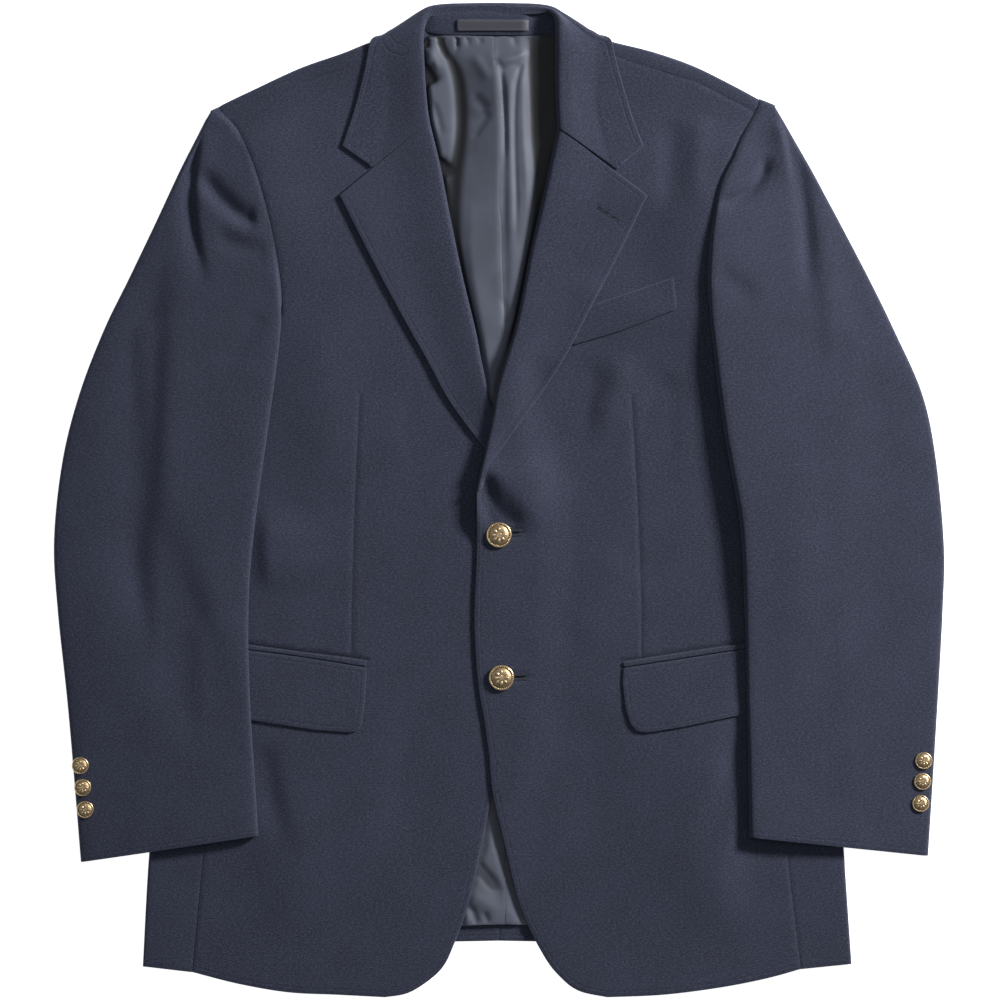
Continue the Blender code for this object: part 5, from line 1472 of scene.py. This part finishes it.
def build_top_sleeve(side, material):
    """The upper wall, which turns under at both folds; at the armhole it ends on the seam."""
    sizes = bpy.context.scene.coat_sizes
    support = sleeve_support(side)
    top_face = sleeve_top(side)
    half = SLEEVE_WALL / 2

    def resting(at):
        """The middle of the wall where it lies on what is under it."""
        return float(support(*at)) + half

    shares = np.linspace(0, 1, 46)
    grid = []
    for e in sleeve_rows(side, sizes.mesh / MM):
        outer, inner = np.array([e.outer_x, e.outer_y]), np.array([e.inner_x, e.inner_y])
        width = np.linalg.norm(inner - outer)
        d = (inner - outer) / width
        open_side = float(fade(e.inner_y, 148, 163))
        tuck = min(SLEEVE_TUCK, width * NARROW_TUCK)
        bend = min(SLEEVE_TURN, width * NARROW_TURN)
        u = bend + (width - 2 * bend) * shares
        x, y = outer[0] + d[0] * u, outer[1] + d[1] * u
        seam_z = FRONT_LEVEL + FRONT_WALL / 2 + ARMHOLE_LIFT + float(front_fullness(side, *inner))
        ease = fade(e.inner_y, 212, 274) * (1 - fade(width - u, 0, SEAM_EASE))
        top = top_face(x, y, shares, width) - half
        top += (seam_z + HEAD_ROLL - top) * ease
        low = resting(outer)
        rise = top[0] - low
        row = []
        for share in (1, 0.75, 0.5):
            at = outer + d * max(tuck * share, bend)
            row.append((*at, resting(at)))
        for angle in np.radians(range(0, 180, 20)):
            at = outer + d * (bend - (bend - OUTER_BULGE) * math.sin(angle))
            row.append((*at, low + rise * (1 - math.cos(angle)) / 2))
        row += list(zip(x, y, top))
        at = inner - d * bend
        base = resting(at)
        top = row[-1][2]
        for angle in (22, 45, 67, 90, 112, 135, 157, 180):
            a = math.radians(angle)
            at = inner - d * (bend - (bend - INNER_BULGE) * math.sin(a))
            shut = np.array((*at, base + (top - base) * (1 + math.cos(a)) / 2))
            at = inner - d * (bend - (bend - OPEN_EDGE[0]) * angle / 180)
            left_open = np.array((*at, top + (seam_z - top) * smooth(angle / 180)))
            row.append(tuple(shut + (left_open - shut) * open_side))
        for share in (0.55, 0.78, 1):
            at = inner - d * max(tuck * share, bend)
            shut = np.array((*at, resting(at)))
            at = inner - d * (OPEN_EDGE[0] - OPEN_EDGE[1] * share)
            left_open = np.array((*at, seam_z - OPEN_DROP * share))
            row.append(tuple(shut + (left_open - shut) * open_side))
        grid.append(row)
    grid = np.array(grid, float)
    head, low = grid[0], grid[0, :, 2].min()
    out = (grid[0] - grid[3])[:, :2].mean(0)
    out *= HEAD_CAP / np.linalg.norm(out)
    caps = [np.column_stack([head[:, :2] + out * math.sin(a), low + (head[:, 2] - low) * math.cos(a)])
            for a in np.radians((90, 60, 30))]
    grid = np.vstack([caps, grid])
    return band(f"top_sleeve_{side.name}_cloth", grid, SLEEVE_WALL, material, sewn=[grid[-1, 12:-11, :2]])


def build_under_sleeve(side, material):
    """The lower wall, from the back armhole to the cuff, between the two seams."""
    outer, inner = [], []
    for e in sleeve_rows(side, SLEEVE_STEP):
        a, b = np.array((e.outer_x, e.outer_y)), np.array((e.inner_x, e.inner_y))
        width = np.linalg.norm(b - a)
        d = (b - a) / width
        tuck = min(SLEEVE_TUCK, width * NARROW_TUCK) + 2 * CLEAR
        if e.outer_y < UNDER_FOLDS[0]:
            outer.append(tuple(a + d * tuck))
        if e.inner_y < UNDER_FOLDS[1]:
            inner.append(tuple(b - d * tuck))
    armhole = moved(curve(mirrored(BACK_ARMHOLE, side), 8), -UNDER_GAP * side.sign)
    armhole = [p for p in armhole if UNDER_ARMHOLE[0] < p[1] < UNDER_ARMHOLE[1]]
    outline = joined(outer, inner[::-1], mirrored(UNDER_FROM, side)[::-1], armhole)
    return panel(f"under_sleeve_{side.name}_cloth", outline, sleeve_support(side), SLEEVE_WALL,
                 SLEEVE_STEP, material)


# What lies on the panels.

def build_patch(name, side, outline, step, material, hang=0.0, edged=True, grain=0.0, lap=0.0):
    """A piece sewn on a front; a flap hangs free, so its lower edge stands a little off."""
    outline = joined(resampled(closed(outline), step))

    def level(x, y):
        return on_front(side, x, y) + hang * fade(y, -145, -181)

    return panel(f"{name}_cloth", outline, level, FLAP_WALL, step, material,
                 sewn=[closed(outline)] if edged else (), grain=grain, lap=lap)


def build_button(name, place, diameter, height, beads):
    """A domed shank button with a beaded rim and a rosette; the place is its shank's foot."""
    x, y, z = place
    around = math.tau * np.arange(BUTTON_SIDES) / BUTTON_SIDES
    places, faces, tarnish = [], [], []
    for k, ring in enumerate(BUTTON_RINGS):
        radius = ring.radius * diameter / 2
        level = z + ring.height * height
        places += [(x + radius * math.cos(a), y + radius * math.sin(a), level) for a in around]
        tarnish += [ring.tarnish] * BUTTON_SIDES
        below, here = (k - 1) * BUTTON_SIDES, k * BUTTON_SIDES
        for i in range(BUTTON_SIDES if k else 0):
            j = (i + 1) % BUTTON_SIDES
            faces.append((below + i, below + j, here + j, here + i))
    faces.append(tuple(reversed(range(BUTTON_SIDES))))
    faces += [(here + i, here + (i + 1) % BUTTON_SIDES, len(places)) for i in range(BUTTON_SIDES)]
    places.append((x, y, z + BUTTON_CROWN.height * height))
    tarnish.append(BUTTON_CROWN.tarnish)
    mesh = bpy.data.meshes.new(name)
    mesh.from_pydata((np.array(places) * MM).tolist(), [], faces)
    mesh.attributes.new("tarnish", "FLOAT", "POINT").data.foreach_set("value", np.array(tarnish, np.float32))
    piece = grown(f"{name}_brass", linked(name, mesh), rosette_tree, {
        "Centre": (x * MM, y * MM, z * MM), "Radius": diameter / 2 * MM,
        "Beads": beads, "Bead level": BEAD_LEVEL * height * MM,
        "Petals": bpy.context.scene.coat_sizes.petals, "Petal level": PETAL_LEVEL * height * MM,
        "Material": finish_of(antique_brass)})
    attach(piece, "root")
    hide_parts(name)
    return piece


# Sizes and colours that a user would change.

def length(label, note, value, low, high):
    return FloatProperty(name=label, description=note, default=value, min=low, max=high,
                         subtype="DISTANCE", unit="LENGTH")


def share(label, note, low, high):
    return FloatProperty(name=label, description=note, default=1.0, min=low, max=high, subtype="FACTOR")


def count(label, note, value, low, high):
    return IntProperty(name=label, description=note, default=value, min=low, max=high)


def colour(label, note, value):
    return FloatVectorProperty(name=label, description=note, default=value, size=3, min=0.0, max=1.0,
                               subtype="COLOR")


class CoatSizes(bpy.types.PropertyGroup):
    """The coat's sizes."""

    mesh: length("Mesh step", "Distance between the cloth's points where it shows", 0.004, 0.002, 0.02)
    weave: length("Weave cell", "Width of one pair of threads in the basket weave", 0.0013, 0.0004, 0.01)
    loft: share("Sleeve fullness", "How full the sleeves lie, as a share", 0.4, 1.3)
    folds: share("Sleeve folds", "How deep the sleeves' folds are, as a share", 0.0, 1.5)
    stitch_pitch: length("Stitch pitch", "From one edge stitch to the next", 0.0042, 0.001, 0.02)
    stitch_length: length("Stitch length", "Length of one edge stitch", 0.0011, 0.0003, 0.01)
    stitch_width: length("Stitch width", "Thickness of the sewing thread", 0.00034, 0.0001, 0.002)
    stitch_inset: length("Stitch inset", "From an edge to its line of stitches", 0.0042, 0.001, 0.02)
    front_beads: count("Front beads", "Beads round a front button", 34, 8, 80)
    cuff_beads: count("Cuff beads", "Beads round a cuff button", 26, 8, 80)
    petals: count("Petals", "Petals of a button's rosette", 8, 4, 16)


class CoatColours(bpy.types.PropertyGroup):
    """The coat's colours."""

    cloth: colour("Cloth", "Navy of the wool", (0.037, 0.043, 0.074))
    cloth_fleck: colour("Cloth fleck", "Paler threads in the wool", (0.087, 0.096, 0.144))
    lining: colour("Lining", "Grey-blue of the lining", (0.071, 0.080, 0.110))
    lining_glint: colour("Lining glint", "Pale threads in the lining", (0.125, 0.141, 0.187))
    label: colour("Label", "Ground of the neck label", (0.044, 0.047, 0.060))
    thread: colour("Thread", "Sewing thread", (0.020, 0.024, 0.040))
    brass: colour("Brass", "High places of the buttons", (0.70, 0.53, 0.32))
    tarnish: colour("Tarnish", "Hollows of the buttons", (0.17, 0.115, 0.06))
    floor: colour("Floor", "The floor under the coat", (0.86, 0.86, 0.86))


# Operators, one for each piece or group of like pieces.

class COAT_OT_back(bpy.types.Operator):
    """Build the back panels and the side panels"""

    bl_idname = "coat.back"
    bl_label = "Back and sides"

    def execute(self, context):
        cloth = finish_of(hopsack)
        for side in BOTH:
            dressed(build_back(side, cloth), "cloth", "surface")
            dressed(build_side(side, cloth), "cloth", "surface")
        return {"FINISHED"}


class COAT_OT_lining(bpy.types.Operator):
    """Build the lining inside the back"""

    bl_idname = "coat.lining"
    bl_label = "Lining"

    def execute(self, context):
        for side in BOTH:
            dressed(build_lining(side, finish_of(satin)), "lining", f"back_{side.name}")
        return {"FINISHED"}


class COAT_OT_fronts(bpy.types.Operator):
    """Build the fronts with their darts"""

    bl_idname = "coat.fronts"
    bl_label = "Fronts"

    def execute(self, context):
        for side in BOTH:
            dressed(build_front(side, finish_of(hopsack)), "cloth", f"back_lining_{side.name}")
        return {"FINISHED"}


class COAT_OT_lapels(bpy.types.Operator):
    """Build the lapels"""

    bl_idname = "coat.lapels"
    bl_label = "Lapels"

    def execute(self, context):
        for side in BOTH:
            dressed(build_lapel(side, finish_of(hopsack)), "cloth", f"front_{side.name}")
        return {"FINISHED"}


class COAT_OT_collar(bpy.types.Operator):
    """Build the collar, its stand and the plain neck label"""

    bl_idname = "coat.collar"
    bl_label = "Collar"

    def execute(self, context):
        cloth = finish_of(hopsack)
        dressed(build_collar(cloth), "cloth", "front_left", "front_right")
        dressed(build_stand(cloth), "cloth", "back_left", "back_right")
        dressed(build_label(finish_of(woven_label)), "label", "collar_stand")
        return {"FINISHED"}


class COAT_OT_sleeves(bpy.types.Operator):
    """Build the two-piece sleeves"""

    bl_idname = "coat.sleeves"
    bl_label = "Sleeves"

    def execute(self, context):
        cloth = finish_of(hopsack)
        for side in BOTH:
            dressed(build_under_sleeve(side, cloth), "cloth", f"front_{side.name}", "surface")
            dressed(build_top_sleeve(side, cloth), "cloth", f"under_sleeve_{side.name}")
        return {"FINISHED"}


class COAT_OT_pockets(bpy.types.Operator):
    """Build the pocket flaps, their jets and the breast welt"""

    bl_idname = "coat.pockets"
    bl_label = "Pockets"

    def execute(self, context):
        cloth = finish_of(hopsack)
        for side in BOTH:
            flap = build_patch(f"pocket_flap_{side.name}", side, FLAPS[side.name], FLAP_STEP, cloth,
                               FLAP_HANG)
            dressed(flap, "cloth", f"front_{side.name}")
            jet = build_patch(f"pocket_jet_{side.name}", side, JETS[side.name], JET_STEP, cloth,
                              edged=False, grain=JET_SLANT * -side.sign, lap=APART)
            dressed(jet, "cloth", f"front_{side.name}")
        dressed(build_patch("chest_welt", LEFT, WELT, FLAP_STEP, cloth), "cloth", "front_left")
        return {"FINISHED"}


class COAT_OT_sewing(bpy.types.Operator):
    """Sew the edges and the buttonholes"""

    bl_idname = "coat.sewing"
    bl_label = "Sewing"

    def execute(self, context):
        inset_mm = context.scene.coat_sizes.stitch_inset / MM
        fronts, lapels, flaps, holes = [], [], [], []
        for side in BOTH:
            line = moved(np.vstack([curve(FRONT_EDGE[side.name], 3), curve(FRONT_HEM[side.name], 3)[1:]]),
                         inset_mm * side.sign)
            x, y = line.T
            z = FRONT_LEVELS[side.name](x, y) + FRONT_WALL
            shown = (y < FRONT_SEWN[0]) & (abs(x) < FRONT_SEWN[1])
            if side is RIGHT:
                shown &= x < x_at(FRONT_EDGE["left"], y) - 1
            if shown.any():
                fronts.append(np.column_stack([x, y, z])[shown])
            grid = lapel_grid(side)
            step = np.linalg.norm(grid[:, -2] - grid[:, -1], axis=1)
            reach = np.minimum(inset_mm / np.maximum(step, 0.05), 20)
            run = grid[:, -1] + (grid[:, -2] - grid[:, -1]) * reach[:, None]
            run[:, 2] += LAPEL_WALL / 2
            lapels.append(run[LAPEL_SEWN])
            outline = split(resampled(closed(FLAPS[side.name]), FLAP_STEP), FLAP_STEP)
            line = inset(outline, inset_mm * FLAP_SEWN_INSET)
            line = line[(abs(line[:, 0]) < FLAP_SEWN[0]) & (line[:, 1] < FLAP_SEWN[1])]
            line = line[np.argsort(abs(line[:, 0]))]
            x, y = line.T
            z = on_front(side, x, y) + FLAP_WALL
            flaps.append(np.column_stack([x, y, z]))
        for name, lines in (("front_edge_stitches", fronts), ("lapel_stitches", lapels),
                            ("flap_stitches", flaps)):
            stitches(name, lines)
        for slit in SLITS["left"]:
            for off in (-FRONT_HOLE.off, FRONT_HOLE.off):
                x, y = moved(resampled(slit, 1), off).T
                holes.append(np.column_stack([x, y, left_front_level(x, y) + FRONT_WALL - THREAD_SINK]))
        stitches("front_buttonholes", holes, *FRONT_HOLE[1:], math.pi / 2)
        grid = grid.reshape(-1, 3)
        holes = []
        for off in (-LAPEL_HOLE.off, LAPEL_HOLE.off):
            x, y = moved(resampled(LAPEL_SLIT, 1), off).T
            ends = [grid[np.argmin(np.hypot(grid[:, 0] - x[i], grid[:, 1] - y[i])), 2] for i in (0, -1)]
            z = np.linspace(*ends, len(x))
            holes.append(np.column_stack([x, y, z + LAPEL_WALL / 2 + THREAD_LIFT]))
        stitches("lapel_buttonhole", holes, *LAPEL_HOLE[1:], math.pi / 2)
        return {"FINISHED"}


class COAT_OT_buttons(bpy.types.Operator):
    """Build the brass buttons"""

    bl_idname = "coat.buttons"
    bl_label = "Buttons"

    def execute(self, context):
        sizes = context.scene.coat_sizes
        for i, p in enumerate(FRONT_BUTTONS, 1):
            z = float(on_front(LEFT, p.x, p.y)) - BUTTON_SINK * FRONT_BUTTON
            build_button(f"front_button_{i}", (p.x, p.y, z), FRONT_BUTTON, FRONT_BUTTON_HEIGHT,
                         sizes.front_beads)
        for side in BOTH:
            top_face = sleeve_top(side)
            cuff = SLEEVES[side.name][-2:]
            for i, p in enumerate(CUFF_BUTTONS[side.name], 1):
                outer = float(x_at([(e.outer_x, e.outer_y) for e in cuff], p.y))
                width = abs(cuff[0].inner_x - outer)
                x = p.x + np.array(BUTTON_REST)
                share = np.clip((abs(x - outer) - CUFF_TOP_FROM) / width, 0, 1)
                z = float(top_face(x, np.full(len(x), p.y), share, width).mean()) - BUTTON_SINK * CUFF_BUTTON
                build_button(f"cuff_button_{side.name}_{i}", (p.x, p.y, z), CUFF_BUTTON,
                             CUFF_BUTTON_HEIGHT, sizes.cuff_beads)
        return {"FINISHED"}


FRAME_WIDTH = 0.82  # what the camera takes in, in metres
LENS = 135.0
SENSOR = 36.0
CAMERA_X = 0.00082
CAMERA_Y = -0.00041
CAMERA_HEIGHT = FRAME_WIDTH * LENS / SENSOR + 0.006  # over the floor, with the coat's own height
FLOOR_HALF = 5.0
FLOOR_LEVEL = -0.0002
FLOOR_GLOW = 0.9  # the floor is a pale light table, so that shadows hardly show on it
SKY_COLOUR = (0.9, 0.94, 1.0)
SKY_STRENGTH = 0.13
Lamp = namedtuple("Lamp", "name place size power colour")
LAMPS = [
    Lamp("key_light", (2.5, 1.55, 1.27), 0.55, 184.0, (1.0, 0.985, 0.965)),
    Lamp("fill_light", (-1.6, 0.2, 2.6), 2.6, 6.0, (0.94, 0.97, 1.0)),
    Lamp("top_light", (0.3, 0.4, 3.2), 1.6, 11.0, (1.0, 1.0, 1.0)),
]


class COAT_OT_stage(bpy.types.Operator):
    """Lay the floor and set the lights and the camera"""

    bl_idname = "coat.stage"
    bl_label = "Stage"

    def execute(self, context):
        scene = context.scene
        mesh = bpy.data.meshes.new("floor")
        turns = ((-1, -1), (1, -1), (1, 1), (-1, 1))
        mesh.from_pydata([(x * FLOOR_HALF, y * FLOOR_HALF, FLOOR_LEVEL) for x, y in turns], [],
                         [(0, 1, 2, 3)])
        base = tuple(scene.coat_colours.floor)
        paint = Finish("floor_paint", {"Roughness": 0.9, "Specular IOR Level": 0.1,
                                       "Emission Color": (1, 1, 1), "Emission Strength": FLOOR_GLOW})
        speckle = paint.noise(paint.body(), 60, 3, 0.5)
        paint.put({"Base Color": paint.mix(speckle, times(base, 0.99), times(base, 1.01))})
        mesh.materials.append(paint.material)
        linked("floor", mesh)
        for lamp in LAMPS:
            data = bpy.data.lights.new(lamp.name, "AREA")
            data.shape = "SQUARE"
            data.size = lamp.size
            data.energy = lamp.power
            data.color = lamp.colour
            light = linked(lamp.name, data)
            light.location = lamp.place
            light.rotation_euler = (-Vector(lamp.place)).to_track_quat("-Z", "Y").to_euler()
        world = bpy.data.worlds.new("studio")
        world.use_nodes = True
        backdrop = world.node_tree.nodes["Background"]
        backdrop.inputs["Color"].default_value = (*SKY_COLOUR, 1)
        backdrop.inputs["Strength"].default_value = SKY_STRENGTH
        scene.world = world
        scene.view_settings.view_transform = "Standard"
        lens = bpy.data.cameras.new("camera")
        lens.lens = LENS
        lens.sensor_width = SENSOR
        scene.camera = linked("camera", lens)
        scene.camera.location = (CAMERA_X, CAMERA_Y, CAMERA_HEIGHT)
        return {"FINISHED"}


OPERATORS = (COAT_OT_back, COAT_OT_lining, COAT_OT_fronts, COAT_OT_lapels, COAT_OT_collar, COAT_OT_sleeves,
             COAT_OT_pockets, COAT_OT_sewing, COAT_OT_buttons, COAT_OT_stage)


class COAT_PT_panel(bpy.types.Panel):
    """The coat's pieces, sizes and colours"""

    bl_label = "Sport coat"
    bl_idname = "COAT_PT_panel"
    bl_space_type = "VIEW_3D"
    bl_region_type = "UI"
    bl_category = "Coat"

    def draw(self, context):
        for operator in OPERATORS:
            self.layout.operator(operator.bl_idname)
        for group in (context.scene.coat_sizes, context.scene.coat_colours):
            for label in group.bl_rna.properties.keys():
                if label not in {"rna_type", "name"}:
                    self.layout.prop(group, label)


CLASSES = (CoatSizes, CoatColours, *OPERATORS, COAT_PT_panel)


def register():
    for cls in CLASSES:
        bpy.utils.register_class(cls)
    bpy.types.Scene.coat_sizes = PointerProperty(type=CoatSizes)
    bpy.types.Scene.coat_colours = PointerProperty(type=CoatColours)


def unregister():
    del bpy.types.Scene.coat_colours
    del bpy.types.Scene.coat_sizes
    for cls in reversed(CLASSES):
        bpy.utils.unregister_class(cls)


def main():
    """Registers the add-on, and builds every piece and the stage."""
    register()
    for operator in (bpy.ops.coat.back, bpy.ops.coat.lining, bpy.ops.coat.fronts, bpy.ops.coat.lapels,
                     bpy.ops.coat.collar, bpy.ops.coat.sleeves, bpy.ops.coat.pockets, bpy.ops.coat.sewing,
                     bpy.ops.coat.buttons, bpy.ops.coat.stage):
        operator()
    bpy.context.view_layer.update()


if __name__ == "__main__":
    main()
